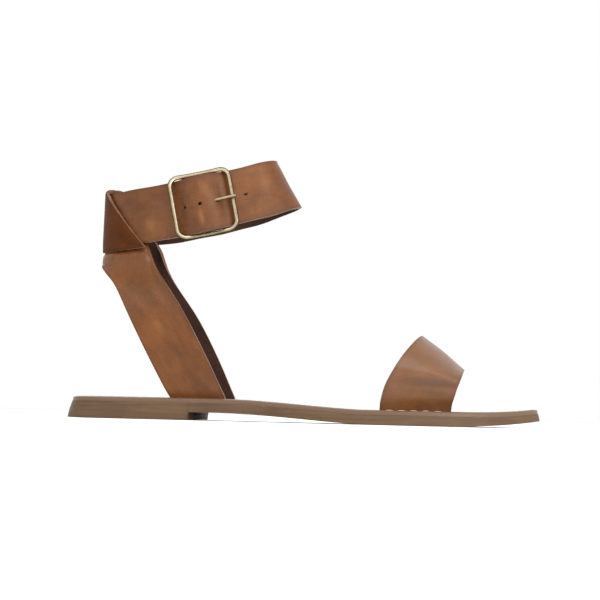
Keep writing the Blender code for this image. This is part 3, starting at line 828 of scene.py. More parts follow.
@dataclass
class Footbed:
    """Leather footbed with sloping rim, stitch groove and slots for the straps."""

    form: SoleForm
    slots: tuple[tuple[Vector, Vector], ...]
    strip: float = 3.2
    rim_width: float = 2.0
    rim_drop: float = 0.55
    groove_at: float = 5.2
    groove_half: float = 0.9
    groove_depth: float = 0.42
    slot_half: float = 1.35
    seat: float = 0.27
    pitch: float = 6.2
    stitch_half: float = 2.15
    thread_half: float = 0.46
    weld: float = 0.02
    slot_depth: float = 1.7
    stitch_sink: float = 0.12
    stitch_rise: float = 0.38
    stitch_gap: float = 2.5
    stitch_side: float = 1.9
    print_from: float = 6.0
    print_depth: float = 0.35

    def build(self) -> list[bpy.types.Object]:
        """Build the footbed and its stitching."""
        return [self.build_leather(), self.build_stitching()]

    def build_leather(self) -> bpy.types.Object:
        """Build the leather sheet and dress it.

        Returns:
            The footbed.
        """
        form = self.form
        bm = bmesh.new()
        groove = bm.verts.layers.float.new("groove")
        wall = bm.verts.layers.float.new("wall")
        rim = bm.verts.layers.float.new("rim")
        tread = bm.verts.layers.float.new("tread")
        top = plan_disc(form.loop(form.flare), 0.0, bm)
        edges = top.edges[:]
        down = bmesh.ops.extrude_edge_only(bm, edges=edges)["geom"]
        lower = [item for item in down if isinstance(item, bmesh.types.BMVert)]
        bottom = form.loop(lambda x: form.flare(x) - 0.3)
        order = sorted(range(len(bottom)), key=lambda i: bottom[i].x)
        for vert in lower:
            near = min(order, key=lambda i: hypot(bottom[i].x - vert.co.x, bottom[i].y - vert.co.y))
            vert.co = Vector((bottom[near].x, bottom[near].y, self.rim_drop - form.footbed_thick - self.seat))
            vert[wall] = 1.0
        lower_edges = [e for e in bm.edges if e.is_boundary and all(v[wall] > 0.5 for v in e.verts)]
        bmesh.ops.contextual_create(bm, geom=lower_edges)
        for vert in top.verts:
            vert[wall] = 0.7
        insets = (
            (self.rim_width, 0.0, 0.0),
            (self.groove_at - self.rim_width - self.groove_half, 0.0, 0.0),
            (self.groove_half, -self.groove_depth, 1.0),
            (self.groove_half, 0.0, 0.0),
        )
        depth = 0.0
        for width, height, mark in insets:
            bmesh.ops.inset_region(bm, faces=[top], thickness=width, use_even_offset=True, use_boundary=True)
            depth += width
            for vert in top.verts:
                vert.co.z = height + self.rim_drop
                vert[groove] = mark
                vert[wall] = 0.0
                vert[rim] = depth
        for vert in bm.verts:
            vert.co.z -= self.rim_drop
        bm.normal_update()
        for k in range(1, int(form.length / self.strip)):
            slice_mesh(bm, Vector((k * self.strip, 0.0, 0.0)), Vector((1.0, 0.0, 0.0)))
        for start, end in self.slots:
            self.cut_slot(bm, start, end)
        bmesh.ops.remove_doubles(bm, verts=bm.verts, dist=self.weld)
        for vert in bm.verts:
            x, y, z = vert.co
            if vert[rim] > self.print_from:
                heel = 1.0 - hypot((x - 38.0) / 40.0, y / 25.0)
                ball = 1.0 - hypot((x - 190.0) / 42.0, (y - 1.0) / 38.0)
                toes = 1.0 - hypot((x - 232.0) / 22.0, (y - 10.0) / 24.0)
                press = smoothstep(max(heel, ball, toes * 0.7) * 1.5)
                vert[tread] = press
                z -= self.print_depth * press
            vert.co = form.to_frame(Vector((x, y, form.footbed_top(x) + z)))
        finish = FootbedLeather("footbed_leather").make()
        piece = add_piece("footbed_leather", bm, [finish], "footbed")
        round_edges(piece, 0.3, 2, 38.0)
        return piece

    def cut_slot(self, bm: bmesh.types.BMesh, start: Vector, end: Vector) -> None:
        """Sink a narrow slot into the top.

        Args:
            bm: the footbed's mesh, still flat.
            start: the slot's rear end.
            end: its front end.
        """
        along = (end - start).normalized()
        across = Vector((-along.y, along.x))
        length = (end - start).length
        planes = (
            (start, -along),
            (end, along),
            (start + across * self.slot_half, across),
            (start - across * self.slot_half, -across),
        )
        for origin, normal in planes:
            bm.normal_update()
            near = [
                face
                for face in bm.faces
                if face.normal.z > 0.5 and self.near_slot(face, start, along, length)
            ]
            # Kept in order: the weld after the cuts keeps the first point of each pair.
            parts = dict.fromkeys(
                item for face in near for item in (*face.verts, *face.edges, face)
            )
            place, facing = (*origin, 0.0), (*normal, 0.0)
            bmesh.ops.bisect_plane(
                bm, geom=list(parts), dist=CUT_PLAY, plane_co=place, plane_no=facing
            )
        bm.normal_update()
        inside = []
        for face in bm.faces:
            centre = face.calc_center_median().to_2d() - start
            part = centre.dot(along)
            between = 0.0 < part < length and abs(centre.dot(across)) < self.slot_half
            if face.normal.z > 0.5 and between:
                inside.append(face)
        made = bmesh.ops.extrude_face_region(bm, geom=inside)["geom"]
        sunk = [item for item in made if isinstance(item, bmesh.types.BMVert)]
        bmesh.ops.translate(bm, verts=sunk, vec=(0.0, 0.0, -self.slot_depth))
        bmesh.ops.delete(bm, geom=inside, context="FACES")

    def near_slot(self, face: bmesh.types.BMFace, start: Vector, along: Vector, length: float) -> bool:
        """Say whether a face reaches over a slot.

        Args:
            face: a face of the footbed.
            start: the slot's rear end.
            along: the slot's direction.
            length: the slot's length.

        Returns:
            Whether any part of its bounds lies over the slot or next to it.
        """
        across = Vector((-along.y, along.x))
        offsets = [vert.co.to_2d() - start for vert in face.verts]
        parts = [offset.dot(along) for offset in offsets]
        sides = [offset.dot(across) for offset in offsets]
        over = min(parts) < length + self.slot_half and max(parts) > -self.slot_half
        return over and min(sides) < 2.0 * self.slot_half and max(sides) > -2.0 * self.slot_half

    def build_stitching(self) -> bpy.types.Object:
        """Build the row of stitches in the groove.

        Returns:
            The stitches, as one piece.
        """
        form = self.form
        line = form.loop(lambda x: form.flare(x) + self.groove_at)
        closed = line + line[:1]
        length = sum((b - a).length for a, b in zip(closed, closed[1:]))
        count = round(length / self.pitch)
        places = even_line(closed, count * 4 + 1)
        bm = bmesh.new()
        for k in range(count):
            before = places[k * 4]
            centre = places[k * 4 + 1]
            after = places[k * 4 + 2]
            if any(self.in_slot(centre, start, end) for start, end in self.slots):
                continue
            ends = [Vector((p.x, p.y, form.footbed_top(p.x))) for p in (before, after)]
            tangent = (ends[1] - ends[0]).normalized()
            sideways = Vector((-tangent.y, tangent.x, 0.0)).normalized()
            turn = Matrix((tangent, sideways, tangent.cross(sideways))).transposed().to_4x4()
            middle = Vector((centre.x, centre.y, form.footbed_top(centre.x) - self.stitch_sink))
            size = Matrix.Diagonal((self.stitch_half, self.thread_half, self.stitch_rise, 1.0))
            place = Matrix.Translation(form.to_frame(middle)) @ Matrix.Scale(MM, 4) @ turn @ size
            matrix = place @ Matrix.Rotation(pi / 2, 4, "Y")
            bmesh.ops.create_uvsphere(bm, u_segments=6, v_segments=8, radius=1.0, matrix=matrix)
        return add_piece("footbed_stitching", bm, [Thread("waxed_thread").make()], None)

    def in_slot(self, point: Vector, start: Vector, end: Vector) -> bool:
        """Say whether a stitch would meet a strap in its slot.

        Args:
            point: the stitch's middle.
            start: the slot's rear end.
            end: its front end.

        Returns:
            Whether it would meet the strap.
        """
        along = (end - start).normalized()
        offset = point.to_2d() - start
        part = offset.dot(along)
        beside = (offset - along * part).length < self.stitch_side
        return beside and -self.stitch_gap < part < (end - start).length + self.stitch_gap


@dataclass(frozen=True)
class Crease:
    """A soft trough or ridge on a strap, in the strap's own length and width."""

    along: float
    across: float
    half_length: float
    half_width: float
    depth: float
    turn: float = 0.0

    def strength(self, along: float, across: float) -> float:
        """Say how strong the crease is at a place.

        Args:
            along: place along the strap.
            across: place across it.

        Returns:
            The strength, from 0 to 1.
        """
        dx = along - self.along
        dy = across - self.across
        angle = radians(self.turn)
        u = (dx * cos(angle) + dy * sin(angle)) / self.half_length
        v = (-dx * sin(angle) + dy * cos(angle)) / self.half_width
        return smoothstep(1.0 - min(abs(u), 1.0)) * smoothstep(1.0 - min(abs(v), 1.0))


@dataclass
class Band:
    """A leather band laid over rows of points, with its own length and width."""

    rows: list[list[Vector]]
    along: list[float]
    across: list[float]
    creases: tuple[Crease, ...] = ()
    holes: tuple[tuple[float, float], ...] = ()
    wave: float = 0.18
    hole_stretch: float = 1.35

    def at(self, along: float, across: float) -> Vector:
        """Point of the band at a length and width.

        Args:
            along: place along the band.
            across: place across it.

        Returns:
            The table point.
        """
        i = self.span(self.along, along)
        k = self.span(self.across, across)
        u = (along - self.along[i]) / (self.along[i + 1] - self.along[i])
        v = (across - self.across[k]) / (self.across[k + 1] - self.across[k])
        low = self.rows[i][k].lerp(self.rows[i][k + 1], v)
        high = self.rows[i + 1][k].lerp(self.rows[i + 1][k + 1], v)
        return low.lerp(high, u)

    @staticmethod
    def span(values: Sequence[float], value: float) -> int:
        """Number of the span of a rising list that holds a value."""
        for i in range(len(values) - 2):
            if value < values[i + 1]:
                return i
        return len(values) - 2

    def flat_sheet(self) -> bmesh.types.BMesh:
        """Cut the band flat, with its holes, before it is bent.

        Returns:
            The flat sheet.
        """
        bm = bmesh.new()
        columns = len(self.along) - 1
        lines = len(self.across) - 1
        bmesh.ops.create_grid(bm, x_segments=columns, y_segments=lines, size=1.0)
        for vert in bm.verts:
            i = round((vert.co.x + 1.0) / 2.0 * columns)
            k = round((vert.co.y + 1.0) / 2.0 * lines)
            vert.co = Vector((self.along[i], self.across[k], 0.0))
        for place, radius in self.holes:
            centre = Vector((place, 0.0, 0.0))
            vert = min(bm.verts, key=lambda v: (v.co - centre).length)
            bmesh.ops.bevel(
                bm,
                geom=[vert],
                offset=radius,
                offset_type="OFFSET",
                affect="VERTICES",
                segments=1,
                profile=0.5,
                material=-1,
            )
            gone = [f for f in bm.faces if (f.calc_center_median() - centre).length < radius * 0.25]
            sides = [edge for face in gone for edge in face.edges]
            bmesh.ops.delete(bm, geom=gone, context="FACES_ONLY")
            made = bmesh.ops.subdivide_edges(bm, edges=sides, cuts=1)["geom_inner"]
            for item in made:
                if isinstance(item, bmesh.types.BMVert):
                    item.co = centre + (item.co - centre).normalized() * radius
            corners = {corner for edge in sides for corner in edge.verts}
            middles = {item for item in made if isinstance(item, bmesh.types.BMVert)}
            for vert in corners | middles:
                vert.co.x = centre.x + (vert.co.x - centre.x) * self.hole_stretch
        return bm

    def bend(self, bm: bmesh.types.BMesh, inside: Vector | None = None) -> None:
        """Lay the flat sheet over the rows and press the creases in.

        Args:
            bm: the flat sheet.
            inside: a table point that the leather's grain side faces away from.
        """
        uv = bm.loops.layers.uv.new("surface")
        rim = bm.verts.layers.float.new("rim")
        crease = bm.verts.layers.float.new("crease")
        for face in bm.faces:
            for loop in face.loops:
                loop[uv].uv = (loop.vert.co.x * MM, loop.vert.co.y * MM)
        lift = {}
        for vert in bm.verts:
            along, across = vert.co.x, vert.co.y
            gap_ends = min(along - self.along[0], self.along[-1] - along)
            gap_sides = min(across - self.across[0], self.across[-1] - across)
            vert[rim] = min(gap_ends, gap_sides)
            strength = [(item, item.strength(along, across)) for item in self.creases]
            rise = sum(-item.depth * value for item, value in strength)
            # The crease depth also drives painted shade in troughs and a painted highlight on ridges.
            vert[crease] = max(-1.0, min(1.0, -rise / FULL_CREASE))
            ripple = sin(along * 0.21 + across * 0.13) * sin(across * 0.17 - along * 0.07 + 1.3)
            lift[vert] = rise + self.wave * ripple
            vert.co = self.at(along, across)
        bm.normal_update()
        if inside is not None:
            facing = sum((v.co - inside).dot(v.normal) for v in bm.verts)
            if facing < 0.0:
                bmesh.ops.reverse_faces(bm, faces=bm.faces)
                bm.normal_update()
        moves = {vert: vert.normal * height for vert, height in lift.items()}
        for vert, move in moves.items():
            vert.co += move


def finish_leather(
    name: str,
    bm: bmesh.types.BMesh,
    node: str,
    thick: float,
    leather: StrapLeather,
    turned: StrapLeather | None = None,
) -> bpy.types.Object:
    """Give a leather sheet its thickness, three finishes and rounded edges.

    Args:
        name: the piece's name.
        bm: the sheet through the middle of the leather, in table millimetres.
        node: the solid that it stands for.
        thick: the leather's thickness in millimetres.
        leather: the finish of the grain side.
        turned: the finish of a part that is turned over, with its grain side underneath; for the heel flap a
            darker copy of the leather, as painted shade.

    Returns:
        The new object.
    """
    for vert in bm.verts:
        vert.co = SOLE.to_frame(vert.co)
    grain = leather.make()
    flesh = FleshSide(f"{name}_flesh_side").make()
    edge = CutEdge(f"{name}_cut_edge").make()
    materials = [grain, flesh, edge]
    if turned is not None:
        materials += [flesh, turned.make(), edge]
    piece = add_piece(name, bm, materials, node)
    solid = piece.modifiers.new("Leather", "SOLIDIFY")
    solid.thickness = thick * MM
    solid.offset = 0.0
    solid.use_even_offset = True
    solid.use_quality_normals = True
    solid.material_offset = 1
    solid.material_offset_rim = 2
    round_edges(piece, 0.42, 2, 50.0, 1)
    return piece


Row = tuple[float, float, float, float, float, float]


def row_line(row: Row, samples: int, bulge: float = 0.0) -> list[Vector]:
    """Return points across a strap from its rear edge to its front edge.

    Args:
        row: rear x, y, z and front x, y, z.
        samples: how many points.
        bulge: how far the middle stands up.

    Returns:
        The points.
    """
    rear = Vector(row[:3])
    front = Vector(row[3:])
    line = []
    for k in range(samples):
        part = k / (samples - 1)
        line.append(rear.lerp(front, part) + Vector((0.0, 0.0, bulge * sin(pi * part))))
    return line


def seated(root: Row, height: float) -> Row:
    """Lift a strap's line over the footbed, or sink it into its slot.

    Args:
        root: the line, rear end first.
        height: how far its ends are over the footbed, in mm.

    Returns:
        The line with its new heights.
    """
    rear_z = SOLE.footbed_top(root[0]) + height
    front_z = SOLE.footbed_top(root[3]) + height
    return (root[0], root[1], rear_z, root[3], root[4], front_z)


def smooth_rows(lines: Sequence[Sequence[Vector]], steps: int) -> list[list[Vector]]:
    """Return more lines between the given ones, along smooth curves."""
    columns = [spline([line[i] for line in lines], steps) for i in range(len(lines[0]))]
    return [[column[k] for column in columns] for k in range(len(columns[0]))]


def lengths(rows: Sequence[Sequence[Vector]]) -> list[float]:
    """Measure along the middle of a band.

    Args:
        rows: the band's rows of points.

    Returns:
        The length at each row, from the first.
    """
    middle = len(rows[0]) // 2
    result = [0.0]
    for a, b in zip(rows, rows[1:]):
        result.append(result[-1] + max((b[middle] - a[middle]).length, 0.01))
    return result


def widths(rows: Sequence[Sequence[Vector]]) -> list[float]:
    """Measure across a band, along its middle row.

    Args:
        rows: the band's rows of points.

    Returns:
        The places across, centred.
    """
    row = rows[len(rows) // 2]
    result = [0.0]
    for a, b in zip(row, row[1:]):
        result.append(result[-1] + max((b - a).length, 0.01))
    half = result[-1] / 2.0
    return [value - half for value in result]


ROOT_DEPTH = 1.6
TOE_ROOT = {
    Side.OUTER: (170.5, -36.0, 0.0, 206.5, -31.0, 0.0),
    Side.INNER: (176.0, 34.8, 0.0, 208.8, 35.4, 0.0),
}
HEEL_ROOT = {
    Side.OUTER: (60.0, -21.6, 0.0, 89.5, -23.0, 0.0),
    Side.INNER: (60.0, 19.6, 0.0, 89.5, 15.6, 0.0),
}
SLOT_REAR = {
    (True, Side.OUTER): 162.5,
    (True, Side.INNER): 172.0,
    (False, Side.OUTER): 59.0,
    (False, Side.INNER): 59.0,
}


def slot_ends() -> tuple[tuple[Vector, Vector], ...]:
    """Place the slots in the footbed.

    Returns:
        Pairs of plan points.
    """
    ends = []
    for (at_toe, side), rear_x in SLOT_REAR.items():
        root = (TOE_ROOT if at_toe else HEEL_ROOT)[side]
        rear = Vector((root[0], root[1]))
        front = Vector((root[3], root[4]))
        along = (front - rear) / (front.x - rear.x)
        ends.append((rear + along * (rear_x - rear.x), front + along))
    return tuple(ends)


@dataclass
class ToeStrap:
    """Wide band across the ball of the foot."""

    thick: float = 2.0
    samples: int = 17
    rows: tuple[Row, ...] = (
        (171.0, -37.6, 12.5, 207.0, -32.2, 11.5),
        (173.5, -40.4, 21.0, 208.8, -35.6, 17.0),
        (178.5, -37.4, 30.6, 210.8, -33.0, 22.4),
        (184.6, -27.6, 39.6, 212.4, -24.2, 26.4),
        (189.4, -14.0, 45.4, 213.4, -11.6, 28.6),
        (191.6, 1.0, 47.0, 213.8, 2.0, 29.2),
        (190.4, 16.0, 44.0, 213.6, 16.6, 27.4),
        (186.4, 28.2, 36.6, 212.6, 29.0, 23.2),
        (181.0, 35.6, 26.0, 210.9, 36.6, 17.6),
        (177.0, 36.4, 15.5, 209.4, 37.0, 12.2),
    )
    creases: tuple[Crease, ...] = (
        Crease(18.5, 3.0, 5.0, 26.0, 0.60, -6.0),
        Crease(27.0, 2.0, 8.0, 26.0, -0.25, -5.0),
        Crease(9.5, 0.0, 6.0, 26.0, -0.30, 3.0),
        Crease(26.0, -9.0, 2.6, 8.0, 0.28, 10.0),
        Crease(72.0, 2.0, 7.0, 17.0, 0.40, 5.0),
        Crease(98.0, -2.0, 6.0, 20.0, 0.55, 8.0),
    )

    def build(self) -> bpy.types.Object:
        """Build the band and dress it.

        Returns:
            The toe strap.
        """
        lines = [row_line(seated(TOE_ROOT[Side.OUTER], -ROOT_DEPTH), self.samples)]
        lines.append(row_line(seated(TOE_ROOT[Side.OUTER], 0.6), self.samples))
        lines += [row_line(row, self.samples, 0.6) for row in self.rows]
        lines.append(row_line(seated(TOE_ROOT[Side.INNER], 0.6), self.samples))
        lines.append(row_line(seated(TOE_ROOT[Side.INNER], -ROOT_DEPTH), self.samples))
        rows = smooth_rows(lines, 5)
        band = Band(rows, lengths(rows), widths(rows), self.creases)
        sheet = band.flat_sheet()
        band.bend(sheet, Vector((195.0, 0.0, 8.0)))
        leather = StrapLeather(
            "toe_strap_grain", light=(0.152, 0.057, 0.012), dark=(0.098, 0.034, 0.007), coat=0.50
        )
        return finish_leather("toe_strap_band", sheet, "toe_strap", self.thick, leather)


@dataclass
class AnkleRing:
    """The oval that the ankle strap follows, measured along its own length."""

    x: float = 68.8
    z: float = 118.4
    tilt: float = radians(12.5)
    roll: float = radians(5.5)
    sag: float = 3.2
    half_length: float = 49.9
    half_width: float = 23.0
    lean_front: float = radians(17.0)
    lean_back: float = radians(13.0)
    lean_sides: float = radians(5.0)
    buckle_angle: float = radians(-84.2)
    steps: int = 720
    angles: list[float] = field(init=False)
    reach: list[float] = field(init=False)
    total: float = field(init=False)

    def __post_init__(self) -> None:
        """Measure the oval from the buckle towards the heel."""
        self.angles = [self.buckle_angle - 2.0 * pi * k / self.steps for k in range(self.steps + 1)]
        self.reach = [0.0]
        for a, b in zip(self.angles, self.angles[1:]):
            self.reach.append(self.reach[-1] + (self.oval(b) - self.oval(a)).length)
        self.total = self.reach[-1]

    def oval(self, angle: float) -> Vector:
        """Plan point of the oval in the ring's own plane."""
        return Vector((self.half_length * cos(angle), self.half_width * sin(angle)))

    def angle_at(self, along: float) -> float:
        """Angle at a distance from the buckle, towards the heel.

        Args:
            along: the distance in millimetres.

        Returns:
            The angle in radians.
        """
        turns = along // self.total
        rest = along - turns * self.total
        step = min(Band.span(self.reach, rest), self.steps - 1)
        part = (rest - self.reach[step]) / (self.reach[step + 1] - self.reach[step])
        return self.angles[step] - 2.0 * pi * (part / self.steps + turns)

    def point(self, angle: float, offset: float, height: float) -> Vector:
        """Place a point of the strap.

        Args:
            angle: the angle round the oval.
            offset: how far outside the oval.
            height: the height across the strap.

        Returns:
            The table point.
        """
        outwards = Vector((self.half_width * cos(angle), self.half_length * sin(angle))).normalized()
        end_lean = self.lean_front if outwards.x > 0.0 else self.lean_back
        lean = self.lean_sides + (end_lean - self.lean_sides) * outwards.x**2
        plan = self.oval(angle) + outwards * (offset - height * tan(lean))
        height += plan.y * tan(self.roll)
        height -= self.sag * (1.0 - (plan.x / self.half_length) ** 2)
        forward = Vector((cos(self.tilt), 0.0, sin(self.tilt)))
        up = Vector((-sin(self.tilt), 0.0, cos(self.tilt)))
        centre = Vector((self.x, 0.0, self.z))
        return centre + forward * plan.x + Vector((0.0, plan.y, 0.0)) + up * height


RING = AnkleRing()


@dataclass
class AnkleStrap:
    """Strap around the ankle: folded on the buckle's bar, closed over itself."""

    thick: float = 2.0
    half_width: float = 14.70
    lines: int = 12
    fold_radius: float = 2.55
    column: float = 2.4
    border_wave: float = 0.28
    spread: float = 0.036
    spread_reach: float = 9.0
    fine_column: float = 0.9
    hole_radius: float = 1.0
    hole_places: tuple[float, ...] = (9.4, 1.2, -7.0, -15.2, -23.2)
    fold_part: float = 0.14
    slot_reach: float = 4.6
    tucked_leg: tuple[tuple[float, float], ...] = ((25.0, -5.9), (18.0, -5.8), (10.0, -4.7), (4.0, -3.0))
    buckle_leg: tuple[tuple[float, float], ...] = (
        (4.0, 2.1),
        (9.0, -0.6),
        (15.5, -3.4),
        (21.0, -3.5),
        (29.0, -2.7),
        (40.0, -2.3),
        (75.0, -2.0),
        (100.0, -1.6),
        (130.0, -0.8),
    )
    free_leg: tuple[tuple[float, float], ...] = (
        (-60.0, -0.3),
        (-32.0, -0.8),
        (-22.0, -1.1),
        (-15.5, -0.9),
        (-10.0, 0.9),
        (-4.5, 4.1),
        (0.0, 5.1),
        (4.5, 4.6),
        (9.0, 1.9),
        (15.5, -1.0),
        (21.0, -1.0),
        (29.0, -0.3),
        (40.0, 0.0),
        (62.0, 0.3),
        (78.0, 0.4),
    )

    def course(self) -> tuple[list[Vector], int]:
        """Lay out the strap's course.

        Returns:
            The points, and the number of the free end's first one.
        """
        path = spline([Vector(row) for row in self.tucked_leg], 8)
        turns = 14
        for k in range(turns + 1):
            angle = -pi / 2.0 - pi * k / turns
            path.append(Vector((self.fold_radius * cos(angle), self.fold_radius * sin(angle))))
        path += spline([Vector(row) for row in self.buckle_leg], 10)
        start = path[-1]
        free = [Vector((along + RING.total, offset)) for along, offset in self.free_leg]
        gap = free[0].x - start.x
        count = int(gap // 2.0)
        for k in range(1, count):
            part = k / count
            path.append(Vector((start.x + gap * part, start.y + (free[0].y - start.y) * smoothstep(part))))
        first_free = len(path)
        return path + spline(free, 10), first_free

    def stations(self) -> tuple[list[float], list[Vector], dict[float, float]]:
        """Choose where the strap gets its rows.

        Returns:
            Lengths of leather, the course's points there, and the length at each hole.
        """
        path, first_free = self.course()
        reach = [0.0]
        for a, b in zip(path, path[1:]):
            reach.append(reach[-1] + (b - a).length)
        holes = {}
        for place in self.hole_places:
            target = RING.total + place
            step = next(i for i in range(first_free, len(path) - 1) if path[i + 1].x >= target)
            part = (target - path[step].x) / (path[step + 1].x - path[step].x)
            holes[place] = reach[step] + (reach[step + 1] - reach[step]) * part
        fold_end = reach[-1] * self.fold_part
        marks = [0.0]
        while marks[-1] < reach[-1] - self.fine_column:
            marks.append(marks[-1] + (self.fine_column if marks[-1] < fold_end else self.column))
        marks[-1] = reach[-1]
        for place in holes.values():
            nearest = min(range(1, len(marks) - 1), key=lambda i: abs(marks[i] - place))
            marks[nearest] = place
        points = []
        for mark in marks:
            step = Band.span(reach, mark)
            part = (mark - reach[step]) / max(reach[step + 1] - reach[step], 1e-6)
            points.append(path[step].lerp(path[step + 1], min(max(part, 0.0), 1.0)))
        return marks, points, holes

    def build(self) -> bpy.types.Object:
        """Build the strap and dress it.

        Returns:
            The ankle strap.
        """
        marks, points, holes = self.stations()
        across = [self.half_width * (2.0 * k / self.lines - 1.0) for k in range(self.lines + 1)]
        rows = []
        for point in points:
            angle = RING.angle_at(point.x)
            wave = self.border_wave * sin(point.x * 0.19 + 0.8) * sin(point.x * 0.071)
            near = min(abs(point.x), abs(point.x - RING.total)) / self.spread_reach
            spread = 1.0 + self.spread * smoothstep(1.5 - near)
            rows.append([])
            for height in across:
                moved = height * spread + wave * (height / self.half_width) ** 3
                rows[-1].append(RING.point(angle, point.y, moved))
        front = holes[self.hole_places[-1]]
        bar = holes[self.hole_places[1]]
        creases = (
            Crease(front - 1.6, -4.6, 1.1, 5.0, 0.28, 6.0),
            Crease(front - 4.4, -6.5, 0.9, 4.2, 0.18, 9.0),
            Crease(front + 2.6, 0.2, 3.2, 0.9, 0.22, 4.0),
            Crease(bar + 0.2, -8.0, 1.3, 9.0, -0.60, 8.0),
            Crease(bar - 1.9, -7.5, 1.6, 9.0, 0.35, 8.0),
            Crease(bar - 2.6, 8.0, 2.4, 9.5, -0.55, -3.0),
            Crease(bar + 10.5, 0.0, 3.0, 17.0, 0.45, 2.0),
            Crease(bar - 11.5, 0.0, 3.0, 17.0, 0.45, -2.0),
            Crease(bar + 5.6, 4.5, 1.5, 6.5, 0.25, -3.0),
            Crease(bar + 26.0, 9.0, 9.0, 5.0, 0.45, 12.0),
            Crease(bar + 31.0, -6.0, 6.0, 8.0, -0.35, -8.0),
            Crease(bar + 42.0, 8.0, 7.0, 5.5, 0.40, 0.0),
            Crease(bar - 38.0, 3.0, 7.0, 11.0, -0.30, 0.0),
            Crease(bar - 52.0, -2.0, 6.0, 12.0, 0.35, 6.0),
        )
        cuts = tuple((place, self.hole_radius) for place in holes.values())
        band = Band(rows, marks, across, creases, cuts)
        sheet = band.flat_sheet()
        self.open_fold(sheet, marks, points)
        band.bend(sheet, Vector((RING.x, 0.0, RING.z)))
        leather = StrapLeather("ankle_strap_grain", coat=0.24)
        return finish_leather("ankle_strap_band", sheet, "ankle_strap", self.thick, leather)

    def open_fold(self, sheet: bmesh.types.BMesh, marks: Sequence[float], points: Sequence[Vector]) -> None:
        """Cut the slot in the fold where the prong turns on the bar.

        Args:
            sheet: the flat sheet.
            marks: the length of each row.
            points: the course's point at each row.
        """
        fold = [mark for mark, point in zip(marks, points) if abs(point.x) < self.slot_reach]
        low = min(fold)
        high = max(mark for mark in fold if mark < marks[-1] / 2.0)
        gone = []
        for face in sheet.faces:
            centre = face.calc_center_median()
            if abs(centre.y) < self.half_width * 2.0 / self.lines and low < centre.x < high:
                gone.append(face)
        bmesh.ops.delete(sheet, geom=gone, context="FACES")


